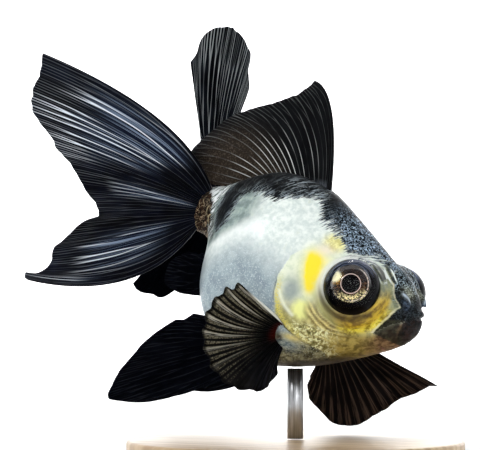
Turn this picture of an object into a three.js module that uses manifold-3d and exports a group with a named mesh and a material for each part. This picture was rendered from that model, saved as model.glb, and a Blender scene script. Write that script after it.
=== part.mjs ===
// A fancy goldfish of the panda telescope kind, life size, held still on a plain display stand.
// Millimetres, +Z up, the fish heads along +X and its own left side is +Y.
// The origin is the middle of the stand's underside.
// The fish is drawn in its own frame, with x forward and z up from the middle of its body, and the
// group that carries it then tips the nose down.

import * as THREE from "three";
import { mergeVertices } from "three/addons/utils/BufferGeometryUtils.js";
import Module from "manifold-3d";

const wasm = await Module();
wasm.setup();

// ---------------------------------------------------------------- driving dimensions

const noseDown = THREE.MathUtils.degToRad(15); // pitch of the swimming pose
const bodyHeight = 47; // height of the body's middle over the floor
const gap = 0.3; // clearance between neighbouring solids

// The trunk and head, from the lips to the root of the tail.  Each station is the shape of one upright
// slice: its place along the fish, its top and bottom, half its width and the height where it is widest.
const stations = [
  { x: 36.6, top: -2.9, bottom: -3.3, half: 0.0, wide: -3.1 },
  { x: 35.9, top: -0.2, bottom: -6.3, half: 2.7, wide: -3.1 },
  { x: 33.8, top: 3.8, bottom: -8.8, half: 4.8, wide: -2.6 },
  { x: 30.4, top: 7.6, bottom: -11.3, half: 7.0, wide: -2.2 },
  { x: 25.6, top: 10.3, bottom: -13.9, half: 9.4, wide: -2.2 },
  { x: 19.6, top: 14.1, bottom: -17.0, half: 12.4, wide: -3.0 },
  { x: 12.6, top: 18.5, bottom: -20.2, half: 15.2, wide: -4.2 },
  { x: 5.2, top: 22.7, bottom: -22.6, half: 17.2, wide: -5.2 },
  { x: -2.4, top: 24.6, bottom: -23.8, half: 18.0, wide: -6.0 },
  { x: -9.6, top: 24.4, bottom: -23.0, half: 17.4, wide: -6.4 },
  { x: -16.0, top: 22.2, bottom: -19.6, half: 15.3, wide: -5.8 },
  { x: -20.6, top: 19.8, bottom: -13.8, half: 10.9, wide: -4.2 },
  { x: -23.0, top: 18.4, bottom: -6.6, half: 6.8, wide: 2.2 },
  { x: -24.8, top: 17.4, bottom: 0.4, half: 4.8, wide: 7.2 },
  { x: -27.0, top: 16.6, bottom: 2.8, half: 4.1, wide: 9.2 },
  { x: -29.6, top: 15.8, bottom: 3.5, half: 3.4, wide: 9.5 },
  { x: -32.4, top: 15.0, bottom: 4.0, half: 2.5, wide: 9.5 },
];
const backShape = 1.85; // superellipse power over the widest line: under 2 is ridged
const bellyShape = 2.15; // and below it: over 2 is full

// The telescope eyes: ball centre, ball radius, the way they look and the skin collar round them.
// The left one sits a little lower than the right, as the fish carries them.
const eye = {
  place: [22.5, 12.8, 2.4],
  leftPlace: [22.8, 12.8, 1.3],
  look: [0.33, 0.9, 0.28],
  radius: 6.9,
  corneaRadius: 5.4,
  corneaRise: 0.8,
  collar: 7.8,
  collarFoot: 9.4,
};

const gillArc = { x: 29.5, z: -3.0, radius: 24.3 }; // rear edge of the gill covers, an arc
const tailCut = -25.5; // where the trunk gives way to the tail root
const mouthCorner = [30.6, 4.7, -6.6];
const lipTip = [36.2, 0, -2.2]; // the mouth's slit runs between the two, round the snout
const lip = { thick: 1.0, apart: 0.95 };
const noseFlap = { place: [32.6, 4.3, 3.0], size: [2.3, 1.0, 1.7] };

// ---------------------------------------------------------------- curves and surfaces

const vec = (p) => new THREE.Vector3(...p);
const mix = (a, b, t) => a + (b - a) * t;

// Uniform Catmull-Rom through a list of numbers; t runs over the indices.
function through(values, t, before = 2 * values[0] - values[1]) {
  const last = values.length - 1;
  const i = Math.min(Math.max(Math.floor(t), 0), last - 1);
  const f = t - i;
  const p0 = i > 0 ? values[i - 1] : before;
  const p1 = values[i];
  const p2 = values[i + 1];
  const p3 = i < last - 1 ? values[i + 2] : 2 * values[last] - values[last - 1];
  const slope = 0.5 * (p2 - p0);
  const bend = p0 - 2.5 * p1 + 2 * p2 - 0.5 * p3;
  const twist = 0.5 * (p3 - p0) + 1.5 * (p1 - p2);
  return p1 + f * (slope + f * (bend + f * twist));
}

// The same through a list of points.
function pointThrough(points, t) {
  return [0, 1, 2].map((k) => through(points.map((p) => p[k]), t));
}

// The slice of the body at t stations from the lips; the lips' end closes to a rounded pole.
function slice(t) {
  const s = (key, before) => through(stations.map((st) => st[key]), t, before);
  const second = stations[1];
  return {
    x: s("x", second.x),
    top: s("top", second.bottom),
    bottom: s("bottom", second.top),
    half: Math.max(s("half", -second.half), 0),
    wide: s("wide", second.wide),
  };
}

// A point of the body's surface: t along the fish, turn once round it from the left side over the back.
function bodyPoint(t, turn) {
  const c = slice(t);
  const angle = 2 * Math.PI * turn;
  const over = Math.sin(angle) >= 0;
  const power = 2 / (over ? backShape : bellyShape);
  const across = Math.sign(Math.cos(angle)) * Math.abs(Math.cos(angle)) ** power;
  const up = Math.abs(Math.sin(angle)) ** power;
  const rise = over ? c.top - c.wide : c.bottom - c.wide;
  return new THREE.Vector3(c.x, c.half * across, c.wide + rise * up);
}

// ---------------------------------------------------------------- solids

// A closed solid from points and triangles.
function solid(points, triangles) {
  return new wasm.Manifold(
    new wasm.Mesh({
      numProp: 3,
      vertProperties: new Float32Array(points.flatMap((p) => [p.x, p.y, p.z])),
      triVerts: new Uint32Array(triangles.flat()),
    }),
  );
}

function solidOf(geometry) {
  const g = geometry.clone();
  g.deleteAttribute("normal");
  g.deleteAttribute("uv");
  const merged = mergeVertices(g, 1e-4);
  const position = merged.attributes.position;
  const points = Array.from({ length: position.count }, (_, i) =>
    new THREE.Vector3().fromBufferAttribute(position, i),
  );
  const index = merged.index.array;
  const triangles = [];
  for (let i = 0; i < index.length; i += 3) triangles.push([...index.slice(i, i + 3)]);
  return solid(points, triangles);
}

function placed(geometry, { at = [0, 0, 0], turn = new THREE.Quaternion(), size = [1, 1, 1] }) {
  return geometry.clone().applyMatrix4(new THREE.Matrix4().compose(vec(at), turn, vec(size)));
}

// The whole body as one solid, grown outwards by a given amount.
function bodySolid(grow = 0, pose = new THREE.Matrix4(), along = 30, around = 22) {
  const last = stations.length - 1;
  const points = [];
  const rings = [];
  for (let i = 1; i <= along; i++) {
    const t = last * (i / along) ** 1.15;
    rings.push(points.length);
    for (let j = 0; j < around; j++) {
      const turn = j / around;
      const p = bodyPoint(t, turn);
      const ahead = bodyPoint(Math.max(t - 0.02, 0.001), turn).sub(p);
      const round = bodyPoint(t, turn + 0.002).sub(p);
      const normal = round.cross(ahead).normalize();
      points.push(p.addScaledVector(normal, grow));
    }
  }
  const nose = points.push(bodyPoint(0, 0).add(new THREE.Vector3(grow, 0, 0))) - 1;
  const end = slice(last);
  const tail = points.push(new THREE.Vector3(end.x - grow, 0, end.wide)) - 1;
  const triangles = [];
  for (let j = 0; j < around; j++) {
    const next = (j + 1) % around;
    triangles.push([nose, rings[0] + j, rings[0] + next]);
    for (let i = 0; i < along - 1; i++) {
      const [a, b] = [rings[i] + j, rings[i] + next];
      const [c, d] = [rings[i + 1] + j, rings[i + 1] + next];
      triangles.push([a, c, d], [a, d, b]);
    }
    triangles.push([rings[along - 1] + j, tail, rings[along - 1] + next]);
  }
  points.forEach((p) => p.applyMatrix4(pose));
  return solid(points, triangles);
}

// A fin is a fan of bony rays under one skin.  Each key ray has a root, a tip and a bow, which is how
// far its middle is pushed off the straight line; the rays between are interpolated.
// bend: how far out along the rays they turn.
// ripple: depth of the folds at the margin, their count across the fin and where they start.
function finPoint(fin, u, v) {
  const t = u * (fin.rays.length - 1);
  const root = vec(pointThrough(fin.rays.map((r) => r.root), t));
  const tip = vec(pointThrough(fin.rays.map((r) => r.tip), t));
  const bow = vec(pointThrough(fin.rays.map((r) => r.bow), t));
  const bend = through(fin.rays.map((r) => r.bend ?? fin.bend), t);
  const control = root.clone().lerp(tip, bend).addScaledVector(bow, 2);
  return root
    .multiplyScalar((1 - v) ** 2)
    .addScaledVector(control, 2 * v * (1 - v))
    .addScaledVector(tip, v * v);
}

function finNormal(fin, u, v) {
  const d = 0.01;
  const across = finPoint(fin, Math.min(u + d, 1), v).sub(finPoint(fin, Math.max(u - d, 0), v));
  const along = finPoint(fin, u, Math.min(v + d, 1)).sub(finPoint(fin, u, Math.max(v - d, 0)));
  return across.cross(along).normalize();
}

function finSurface(fin, u, v) {
  const { depth, folds, phase } = fin.ripple;
  const wave = depth * v ** 1.6 * Math.sin(2 * Math.PI * (folds * u + phase));
  return finPoint(fin, u, v).addScaledVector(finNormal(fin, u, v), wave);
}

// The whole fin as a closed sheet that thins towards its margin.
function finSolid(fin) {
  const { across, along } = fin;
  const points = [];
  for (const side of [1, -1]) {
    for (let i = 0; i <= across; i++) {
      for (let j = 0; j <= along; j++) {
        const [u, v] = [i / across, j / along];
        const thick = mix(fin.rootThick, fin.edgeThick, Math.min(1, 2.2 * v));
        const p = finSurface(fin, u, v);
        points.push(p.addScaledVector(finNormal(fin, u, v), (side * thick) / 2));
      }
    }
  }
  const row = along + 1;
  const half = (across + 1) * row;
  const triangles = [];
  const quad = (a, b, c, d) => triangles.push([a, b, c], [a, c, d]);
  for (let i = 0; i < across; i++) {
    for (let j = 0; j < along; j++) {
      const a = i * row + j;
      quad(a, a + row, a + row + 1, a + 1);
      quad(half + a + 1, half + a + row + 1, half + a + row, half + a);
    }
  }
  const wall = (a, b) => quad(a, b, half + b, half + a);
  for (let i = 0; i < across; i++) {
    wall((i + 1) * row, i * row);
    wall(i * row + along, (i + 1) * row + along);
  }
  for (let j = 0; j < along; j++) {
    wall(j, j + 1);
    wall(across * row + j + 1, across * row + j);
  }
  return solid(points, triangles);
}

// ---------------------------------------------------------------- the fins

const thickness = { rootThick: 1.3, edgeThick: 0.6 };

const dorsalFin = {
  ...thickness,
  bend: 0.64,
  across: 16,
  along: 6,
  ripple: { depth: 0.4, folds: 3.2, phase: 0.1 },
  rays: [
    { root: [4.4, 0, 22.2], tip: [-7.5, -0.5, 48.4], bow: [3.4, 0, 1.9], bend: 0.86 },
    { root: [2.2, 0, 22.8], tip: [-9.9, -1, 44.2], bow: [2.8, 0, 0.8] },
    { root: [-2.2, 0, 23.2], tip: [-17.2, -1, 40.4], bow: [2.6, 0, 1.2] },
    { root: [-6.6, 0, 23.4], tip: [-25.2, -1, 35.8], bow: [2.2, 0, 1.6] },
    { root: [-11, 0, 22.8], tip: [-31.9, -1.5, 31], bow: [1.8, 0, 1.8] },
    { root: [-15.4, 0, 21.4], tip: [-35.8, -2.5, 23], bow: [1.2, 0, 1.4] },
    { root: [-20.6, 0, 18], tip: [-34.8, -2, 17.2], bow: [0.2, 0, -0.9] },
  ],
};

// The double tail has an upper and a lower lobe on each side; rays run from the top one down.
const tailUpperRight = {
  ...thickness,
  bend: 0.3,
  across: 14,
  along: 6,
  ripple: { depth: 0.8, folds: 3.4, phase: 0.2 },
  rays: [
    { root: [-29, -1.4, 14.9], tip: [-63, -38, 39.9], bow: [2.5, -2, 5.7] },
    { root: [-29.8, -1.5, 13.6], tip: [-62.8, -38, 32], bow: [0.6, -2, 3.2] },
    { root: [-30.3, -1.6, 12.4], tip: [-60.4, -36, 22.4], bow: [-0.4, -2, 1.6] },
    { root: [-30.6, -1.6, 11.2], tip: [-53.4, -31, 14.6], bow: [-0.8, -1.6, 0.8] },
    { root: [-30.6, -1.6, 9.4], tip: [-46.5, -23, 4], bow: [-1, -1, 0.4] },
  ],
};

const tailLowerRight = {
  ...thickness,
  bend: 0.4,
  across: 10,
  along: 7,
  ripple: { depth: 0.6, folds: 2.4, phase: 0.1 },
  rays: [
    { root: [-30.6, -1.6, 9], tip: [-46.5, -23, 3.5], bow: [-1, -1, 0.2] },
    { root: [-30.5, -1.6, 8], tip: [-52.6, -22.5, -2.6], bow: [-1, -1, -0.4] },
    { root: [-30.4, -1.6, 7.2], tip: [-57.8, -22, -8.6], bow: [-0.8, -1, -1.2] },
    { root: [-30.2, -1.5, 6.3], tip: [-58.6, -21.5, -13.4], bow: [0, -0.6, -3] },
    { root: [-30, -1.4, 5.6], tip: [-66, -21, -16.4], bow: [2.2, 0.4, -5.8] },
    { root: [-29.8, -1.4, 5], tip: [-65.6, -21, -18.8], bow: [3.4, 0.6, -6.8] },
  ],
};

const tailUpperLeft = {
  ...thickness,
  bend: 0.4,
  across: 14,
  along: 6,
  ripple: { depth: 0.7, folds: 3.4, phase: 0.55 },
  rays: [
    { root: [-29.6, 1.4, 14.4], tip: [-62.8, 30, 45], bow: [-0.3, -2, 1.6] },
    { root: [-30, 1.5, 13.6], tip: [-63, 34.5, 52.5], bow: [-1.6, -1.6, 1.6] },
    { root: [-30.3, 1.6, 12.6], tip: [-60, 41, 57], bow: [-1.4, 0, 1.6] },
    { root: [-30.6, 1.6, 11.6], tip: [-53.4, 47, 50], bow: [-1, 1.6, 1] },
    { root: [-30.6, 1.6, 10.6], tip: [-53.4, 46.5, 40.5], bow: [-1, 1.8, 0.8] },
    { root: [-30.6, 1.6, 9.4], tip: [-52, 45, 30], bow: [-1, 1.8, 0.6] },
  ],
};

const tailLowerLeft = {
  ...thickness,
  bend: 0.4,
  across: 10,
  along: 7,
  ripple: { depth: 0.6, folds: 2.4, phase: 0.6 },
  rays: [
    { root: [-30.6, 1.6, 9], tip: [-49.5, 41, 19], bow: [-1, 1, 0.4] },
    { root: [-30.5, 1.6, 8], tip: [-45, 34, -1], bow: [-1, 1, -0.6] },
    { root: [-30.4, 1.5, 6.8], tip: [-52.2, 28, -18.9], bow: [-1, 1, -0.6] },
    { root: [-29.8, 1.4, 5.4], tip: [-60.4, 22, -18], bow: [-1.2, 0, 0.8] },
  ],
};

const pectoralRight = {
  ...thickness,
  bend: 0.5,
  across: 14,
  along: 6,
  ripple: { depth: 0.45, folds: 6, phase: 0 },
  rays: [
    { root: [8.2, -13.8, -10.8], tip: [2.2, -30, -2.2], bow: [-0.5, 0.5, 0.1] },
    { root: [7.5, -13.8, -11.6], tip: [-1.6, -31, -4.8], bow: [-1.2, 0, -1.1] },
    { root: [6.9, -13.7, -12.4], tip: [-4.5, -30.8, -11], bow: [-1.2, -0.4, -1.4] },
    { root: [6.5, -13.4, -13.2], tip: [-4.6, -29.8, -17.8], bow: [-0.6, -1, -0.9] },
    { root: [6.2, -13.1, -14], tip: [-1, -28.6, -23.8], bow: [-0.6, -1, -0.3] },
    { root: [6.2, -12.8, -14.8], tip: [4.2, -25.8, -27.2], bow: [0, -1, 0] },
    { root: [6.6, -12.2, -15.7], tip: [9.2, -20.5, -26.6], bow: [0.2, -1, 0] },
    { root: [7.2, -11.8, -16.4], tip: [9.6, -14.8, -22.7], bow: [-0.4, -0.5, 0] },
  ],
};

const pectoralLeft = {
  ...thickness,
  bend: 0.5,
  across: 14,
  along: 6,
  ripple: { depth: 0.4, folds: 6, phase: 0.4 },
  rays: [
    { root: [8.6, 13.6, -12.2], tip: [31.7, 30, -20.4], bow: [0, 0, -0.3] },
    { root: [8, 13.6, -13], tip: [22.8, 31, -26], bow: [0, 1, 0] },
    { root: [7.2, 13.4, -13.8], tip: [15.9, 29.5, -34.2], bow: [0, 1, 0] },
    { root: [6.4, 13, -14.8], tip: [8.3, 26, -37.6], bow: [0, 1, 0] },
    { root: [6.2, 12.4, -15.6], tip: [1.5, 21, -32], bow: [0, 1, 0] },
    { root: [6.6, 11.8, -16.4], tip: [2, 16.5, -26], bow: [0, 0.6, 0] },
  ],
};

const pelvicRight = {
  ...thickness,
  bend: 0.5,
  across: 12,
  along: 6,
  ripple: { depth: 0.5, folds: 3, phase: 0.3 },
  rays: [
    { root: [-1, -5.6, -21], tip: [-14, -12, -33], bow: [1, -1, -1.6] },
    { root: [-3, -5.4, -21], tip: [-23.5, -15, -38.8], bow: [0.6, -1, -1.4] },
    { root: [-5, -5.2, -20.6], tip: [-34.4, -16, -41.4], bow: [0, -1, -0.6] },
    { root: [-7, -4.8, -20], tip: [-34.9, -16, -36.4], bow: [0, -1, 0.1] },
    { root: [-8.4, -4.4, -19.6], tip: [-32.5, -15.2, -30.4], bow: [0, 0, 0.4] },
    { root: [-9.8, -4.1, -19.1], tip: [-28.9, -13.4, -23.5], bow: [0, 0, 0.9] },
    { root: [-11.2, -3.8, -18.5], tip: [-24.3, -10.5, -17.9], bow: [0, 0, 1] },
  ],
};

const pelvicLeft = {
  ...thickness,
  bend: 0.5,
  across: 12,
  along: 6,
  ripple: { depth: 0.5, folds: 3, phase: 0.8 },
  rays: [
    { root: [-1, 5.6, -21], tip: [-19, 16, -32.5], bow: [1, 1, -2] },
    { root: [-3, 5.4, -21], tip: [-27.5, 17, -38.5], bow: [0.6, 1, -2] },
    { root: [-5, 5.2, -20.6], tip: [-37, 16, -40], bow: [0, 1, -1] },
    { root: [-7, 4.8, -20], tip: [-42, 14, -34], bow: [0, 1, -1] },
    { root: [-9, 4.2, -19.4], tip: [-39.5, 11, -26], bow: [0, 0, -0.4] },
    { root: [-11, 3.8, -18.4], tip: [-31.5, 9, -18.2], bow: [0, 0, 0.8] },
  ],
};

const analRight = {
  ...thickness,
  bend: 0.5,
  across: 7,
  along: 5,
  ripple: { depth: 0.3, folds: 2.5, phase: 0.1 },
  rays: [
    { root: [-19.2, -2.6, -12.8], tip: [-22, -5, -8], bow: [0, 0, -0.2] },
    { root: [-20.2, -2.6, -10.6], tip: [-24, -6, -10.5], bow: [0, 0, -0.6] },
    { root: [-21, -2.5, -8.2], tip: [-29, -6.5, -12], bow: [0, 0, -0.8] },
    { root: [-21.8, -2.3, -5.8], tip: [-33, -6.5, -10], bow: [0, 0, -0.8] },
    { root: [-22.4, -2.2, -3.6], tip: [-33.2, -5, -5], bow: [0, 0, -0.4] },
    { root: [-23, -2.1, -1.6], tip: [-30, -3.5, -1.5], bow: [0, 0, 0] },
  ],
};

// The other of a pair, mirrored in the fish's middle plane.
function mirrored(fin, phase) {
  const flip = ([x, y, z]) => [x, -y, z];
  const rays = fin.rays.map((r) => ({ root: flip(r.root), tip: flip(r.tip), bow: flip(r.bow) }));
  return { ...fin, rays, ripple: { ...fin.ripple, phase } };
}
const analLeft = mirrored(analRight, 0.6);

// ---------------------------------------------------------------- materials

const paint = (color, roughness, metalness = 0) =>
  new THREE.MeshStandardMaterial({ color, roughness, metalness });
const pearl = paint(0xdfe3dc, 0.35);
const goldCheek = paint(0xd8c870, 0.35);
const inkBlack = paint(0x15151b, 0.4);
const finBlack = paint(0x14151d, 0.45);
const darkEye = paint(0x0c0b10, 0.1);
const paleWood = paint(0xe4dccb, 0.5);
const steel = paint(0xb9bcc0, 0.3, 1);

// ---------------------------------------------------------------- assembly

const fish = new THREE.Group();
fish.rotation.y = noseDown;
fish.position.z = bodyHeight;

const part = new THREE.Group();
part.add(fish);

function add(group, name, made, material) {
  const mesh = made.getMesh();
  const stride = mesh.numProp;
  const flatPoints = new Float32Array(mesh.numVert * 3);
  for (let i = 0; i < mesh.numVert; i++) {
    flatPoints.set(mesh.vertProperties.subarray(i * stride, i * stride + 3), i * 3);
  }
  const geometry = new THREE.BufferGeometry()
    .setAttribute("position", new THREE.BufferAttribute(flatPoints, 3))
    .setIndex(new THREE.BufferAttribute(mesh.triVerts, 1));
  geometry.computeVertexNormals();
  const shown = new THREE.Mesh(geometry, material);
  shown.name = name;
  group.add(shown);
}

// The largest single body of a cut, with any slivers dropped.
function largest(made) {
  return made.decompose().sort((a, b) => b.volume() - a.volume())[0];
}

const up = new THREE.Vector3(0, 1, 0);
function eyeTurn(side) {
  const look = vec(eye.look).multiply(new THREE.Vector3(1, side, 1)).normalize();
  return new THREE.Quaternion().setFromUnitVectors(up, look);
}
const eyePlace = (side) => (side > 0 ? eye.leftPlace : [eye.place[0], -eye.place[1], eye.place[2]]);

// The eyeball with its raised cornea, turned about the line of sight.
function eyeball(side, grow = 0, segments = 16) {
  const profile = [];
  const rings = 9;
  for (let i = 0; i <= rings; i++) {
    const angle = -Math.PI / 2 + (Math.PI * i) / rings;
    const across = eye.radius * Math.cos(angle);
    const bulge = eye.corneaRise * Math.max(0, 1 - (across / eye.corneaRadius) ** 2);
    const out = eye.radius * Math.sin(angle) + (angle > 0 ? bulge : 0);
    profile.push(new THREE.Vector2(Math.max(across, 0), out));
  }
  profile[0].x = 0;
  profile[rings].x = 0;
  const scale = 1 + grow / eye.radius;
  const lathe = new THREE.LatheGeometry(profile, segments);
  return solidOf(placed(lathe, { at: eyePlace(side), turn: eyeTurn(side), size: [scale, scale, scale] }));
}

// The mound of skin that carries the eyeball out from the head.
function collar(side) {
  const profile = [
    new THREE.Vector2(0, -7),
    new THREE.Vector2(eye.collarFoot - 1.8, -7),
    new THREE.Vector2(eye.collarFoot - 0.6, -4.2),
    new THREE.Vector2(eye.collar + 0.4, -1.4),
    new THREE.Vector2(eye.collar, 0.2),
    new THREE.Vector2(eye.collar - 0.8, 1.2),
    new THREE.Vector2(0, 1.2),
  ];
  return solidOf(placed(new THREE.LatheGeometry(profile, 18), { at: eyePlace(side), turn: eyeTurn(side) }));
}

// A rounded cord through a row of points, thinning to nothing at both ends.
function ridge(path, thick, steps = 10, sides = 6) {
  const points = [];
  for (let i = 0; i <= steps; i++) {
    const t = ((path.length - 1) * i) / steps;
    const middle = vec(pointThrough(path, t));
    const ahead = vec(pointThrough(path, Math.min(t + 0.01, path.length - 1))).sub(
      vec(pointThrough(path, Math.max(t - 0.01, 0))),
    );
    const side = ahead.clone().cross(new THREE.Vector3(0, 0, 1)).normalize();
    const over = side.clone().cross(ahead).normalize();
    const radius = thick * Math.sin(Math.PI * mix(0.06, 0.94, i / steps)) ** 0.6;
    for (let j = 0; j < sides; j++) {
      const angle = (2 * Math.PI * j) / sides;
      points.push(
        middle
          .clone()
          .addScaledVector(side, radius * Math.cos(angle))
          .addScaledVector(over, radius * Math.sin(angle)),
      );
    }
  }
  const first = points.push(vec(path[0])) - 1;
  const last = points.push(vec(path.at(-1))) - 1;
  const triangles = [];
  for (let j = 0; j < sides; j++) {
    const next = (j + 1) % sides;
    triangles.push([first, next, j]);
    for (let i = 0; i < steps; i++) {
      const [a, b] = [i * sides + j, i * sides + next];
      triangles.push([a, b, b + sides], [a, b + sides, a + sides]);
    }
    triangles.push([last, steps * sides + j, steps * sides + next]);
  }
  const made = solid(points, triangles);
  return made.volume() > 0 ? made : solid(points, triangles.map(([a, b, c]) => [a, c, b]));
}

// The lips run from one corner of the mouth round the snout to the other, over and under the slit.
function lipRidge(over) {
  const [x, y, z] = mouthCorner;
  const rise = over * lip.apart;
  const half = [
    [x + 0.4, y - 0.5, z + 0.2 * rise],
    [x + 2.2, y - 0.8, mix(z, lipTip[2], 0.42) + rise],
    [lipTip[0] - 1.6, 2.7, mix(z, lipTip[2], 0.8) + rise],
  ];
  const other = half.map(([a, b, c]) => [a, -b, c]).reverse();
  return ridge([...half, [lipTip[0] - 0.2, 0, lipTip[2] + rise], ...other], lip.thick);
}

const body = bodySolid();
const grownBody = bodySolid(gap);

// A round bar across the fish, used to cut arcs into its sides.
function crossBar(x, z, radius, width = 80, segments = 36) {
  return solidOf(placed(new THREE.CylinderGeometry(radius, radius, width, segments), { at: [x, 0, z] }));
}
function block(low, high) {
  const size = high.map((h, k) => h - low[k]);
  const middle = high.map((h, k) => (h + low[k]) / 2);
  return solidOf(placed(new THREE.BoxGeometry(...size), { at: middle }));
}

// Head and trunk part along the rear edge of the gill covers, trunk and tail root along a slice.
const whole = wasm.Manifold.union([body, collar(1), collar(-1), lipRidge(1), lipRidge(-1)]);
const headSpace = crossBar(gillArc.x, gillArc.z, gillArc.radius);
const headWhole = whole.intersect(headSpace).subtract(eyeball(1, gap)).subtract(eyeball(-1, gap));
const rear = body.subtract(crossBar(gillArc.x, gillArc.z, gillArc.radius + gap));
const trunk = rear.subtract(block([-60, -40, -40], [tailCut, 40, 40]));
const tailRoot = rear.subtract(block([tailCut - gap, -40, -40], [60, 40, 40]));

// The gill covers are the rear cheeks, outside the skull.
function gillSpace(side, grow = 0) {
  const bar = new THREE.CylinderGeometry(1, 1, 30, 24);
  const size = [6.2 + grow, 1, 13.4 + grow];
  return solidOf(placed(bar, { at: [11.6, side * (7.5 - grow + 15), -2.6], size }));
}
const gillCover = (side) => headWhole.intersect(gillSpace(side));
let head = headWhole.subtract(gillSpace(1, gap)).subtract(gillSpace(-1, gap));

// The lower jaw hangs under the slit of the mouth, cut out across the head by this outline (x, z).
const jawSide = [
  [mouthCorner[0], mouthCorner[2]],
  [27.6, -9.6],
  [26, -20],
  [42, -20],
  [lipTip[0] + 4, lipTip[2] + 2.5],
].map(([x, z]) => new THREE.Vector2(x, z));

// A convex outline, anticlockwise, moved outwards.
function outset(outline, by) {
  const outward = (a, b) => new THREE.Vector2(b.y - a.y, a.x - b.x).normalize();
  return outline.map((point, i) => {
    const before = outward(outline.at(i - 1), point);
    const after = outward(point, outline[(i + 1) % outline.length]);
    return point.clone().addScaledVector(before.clone().add(after), by / (1 + before.dot(after)));
  });
}
function jawSpace(grow = 0) {
  const shape = new THREE.Shape(outset(jawSide, grow));
  const across = new THREE.ExtrudeGeometry(shape, { depth: 40, bevelEnabled: false });
  return solidOf(across.rotateX(Math.PI / 2).translate(0, 20, 0));
}
const lowerJaw = head.intersect(jawSpace());
head = head.subtract(jawSpace(gap));

// A soft leaf of skin stands at each nostril.
function noseFlapSolid(side) {
  const [x, y, z] = noseFlap.place;
  const turn = new THREE.Quaternion().setFromEuler(new THREE.Euler(side * 0.2, -0.5, side * -0.35));
  const leaf = placed(new THREE.SphereGeometry(1, 9, 6), { at: [x, side * y, z], turn, size: noseFlap.size });
  return largest(solidOf(leaf).subtract(grownBody));
}

add(fish, "head", largest(head), pearl);
add(fish, "lower_jaw", largest(lowerJaw), inkBlack);
add(fish, "gill_cover_right", largest(gillCover(-1)), goldCheek);
add(fish, "gill_cover_left", largest(gillCover(1)), goldCheek);
add(fish, "trunk", largest(trunk), pearl);
add(fish, "tail_root", largest(tailRoot), inkBlack);
add(fish, "nose_flap_right", noseFlapSolid(-1), inkBlack);
add(fish, "nose_flap_left", noseFlapSolid(1), inkBlack);
add(fish, "eye_right", eyeball(-1), darkEye);
add(fish, "eye_left", eyeball(1), darkEye);

// Fins stop a hair outside the flesh that carries them.
const offTheBody = (fin) => largest(finSolid(fin).subtract(grownBody));
add(fish, "dorsal_fin", offTheBody(dorsalFin), finBlack);
add(fish, "pectoral_fin_right", offTheBody(pectoralRight), finBlack);
add(fish, "pectoral_fin_left", offTheBody(pectoralLeft), finBlack);
add(fish, "pelvic_fin_right", offTheBody(pelvicRight), finBlack);
add(fish, "pelvic_fin_left", offTheBody(pelvicLeft), finBlack);
add(fish, "anal_fin_right", offTheBody(analRight), finBlack);
add(fish, "anal_fin_left", offTheBody(analLeft), finBlack);
add(fish, "tail_fin_upper_right", offTheBody(tailUpperRight), finBlack);
add(fish, "tail_fin_upper_left", offTheBody(tailUpperLeft), finBlack);
add(fish, "tail_fin_lower_right", offTheBody(tailLowerRight), finBlack);
add(fish, "tail_fin_lower_left", offTheBody(tailLowerLeft), finBlack);

// ---------------------------------------------------------------- the stand

const stand = { radius: 42, thick: 6, bevel: 0.8, rod: 2.0, rodAt: [0, 0] };
const rim = [
  new THREE.Vector2(0, 0),
  new THREE.Vector2(stand.radius - stand.bevel, 0),
  new THREE.Vector2(stand.radius, stand.bevel),
  new THREE.Vector2(stand.radius, stand.thick - stand.bevel),
  new THREE.Vector2(stand.radius - stand.bevel, stand.thick),
  new THREE.Vector2(0, stand.thick),
];
const upright = new THREE.Quaternion().setFromAxisAngle(new THREE.Vector3(1, 0, 0), Math.PI / 2);
add(part, "stand_base", solidOf(placed(new THREE.LatheGeometry(rim, 36), { turn: upright })), paleWood);

fish.updateMatrix();
const posedFlesh = bodySolid(gap, fish.matrix);
const rodTall = bodyHeight - stand.thick;
const rodBlank = placed(new THREE.CylinderGeometry(stand.rod, stand.rod, rodTall, 24), {
  at: [...stand.rodAt, stand.thick + gap + rodTall / 2],
  turn: upright,
});
add(part, "stand_rod", largest(solidOf(rodBlank).subtract(posedFlesh)), steel);

export default part;
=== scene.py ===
import bpy
import math
import numpy as np
from mathutils import Matrix, Vector


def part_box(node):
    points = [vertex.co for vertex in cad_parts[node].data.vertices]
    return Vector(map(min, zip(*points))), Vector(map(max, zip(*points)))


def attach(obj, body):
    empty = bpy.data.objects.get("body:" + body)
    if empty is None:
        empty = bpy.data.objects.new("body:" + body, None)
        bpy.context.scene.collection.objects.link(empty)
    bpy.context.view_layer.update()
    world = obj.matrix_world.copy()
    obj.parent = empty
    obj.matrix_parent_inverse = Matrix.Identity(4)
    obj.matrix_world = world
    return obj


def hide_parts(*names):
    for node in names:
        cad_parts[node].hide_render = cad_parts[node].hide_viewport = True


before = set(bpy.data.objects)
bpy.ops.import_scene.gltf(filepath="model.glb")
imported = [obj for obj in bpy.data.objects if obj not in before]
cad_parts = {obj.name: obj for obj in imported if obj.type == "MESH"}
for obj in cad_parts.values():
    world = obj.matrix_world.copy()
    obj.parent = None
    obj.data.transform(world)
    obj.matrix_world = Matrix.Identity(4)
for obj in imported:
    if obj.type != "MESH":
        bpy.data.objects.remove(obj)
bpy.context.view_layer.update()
print("frame loaded")

# The fish is drawn in millimetres in its own frame: x forward, y to its left, z up, from mid-body.
pose = {"noseDown": math.radians(15), "height": 47.0}
millimetres = Matrix.Scale(0.001, 4)
fishToFrame = (
    millimetres
    @ Matrix.Translation((0, 0, pose["height"]))
    @ Matrix.Rotation(pose["noseDown"], 4, "Y")
)
chance = np.random.default_rng(7)


def lerp(a, b, t):
    return a + (b - a) * t


def smooth(low, high, value):
    t = np.clip((value - low) / (high - low), 0, 1)
    return t * t * (3 - 2 * t)


def hump(value, middle, wide):  # 1 at the middle, fading to either side
    return np.exp(-((value - middle) / wide) ** 2)


def lengths(vectors):
    return np.linalg.norm(vectors, axis=-1, keepdims=True)


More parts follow.
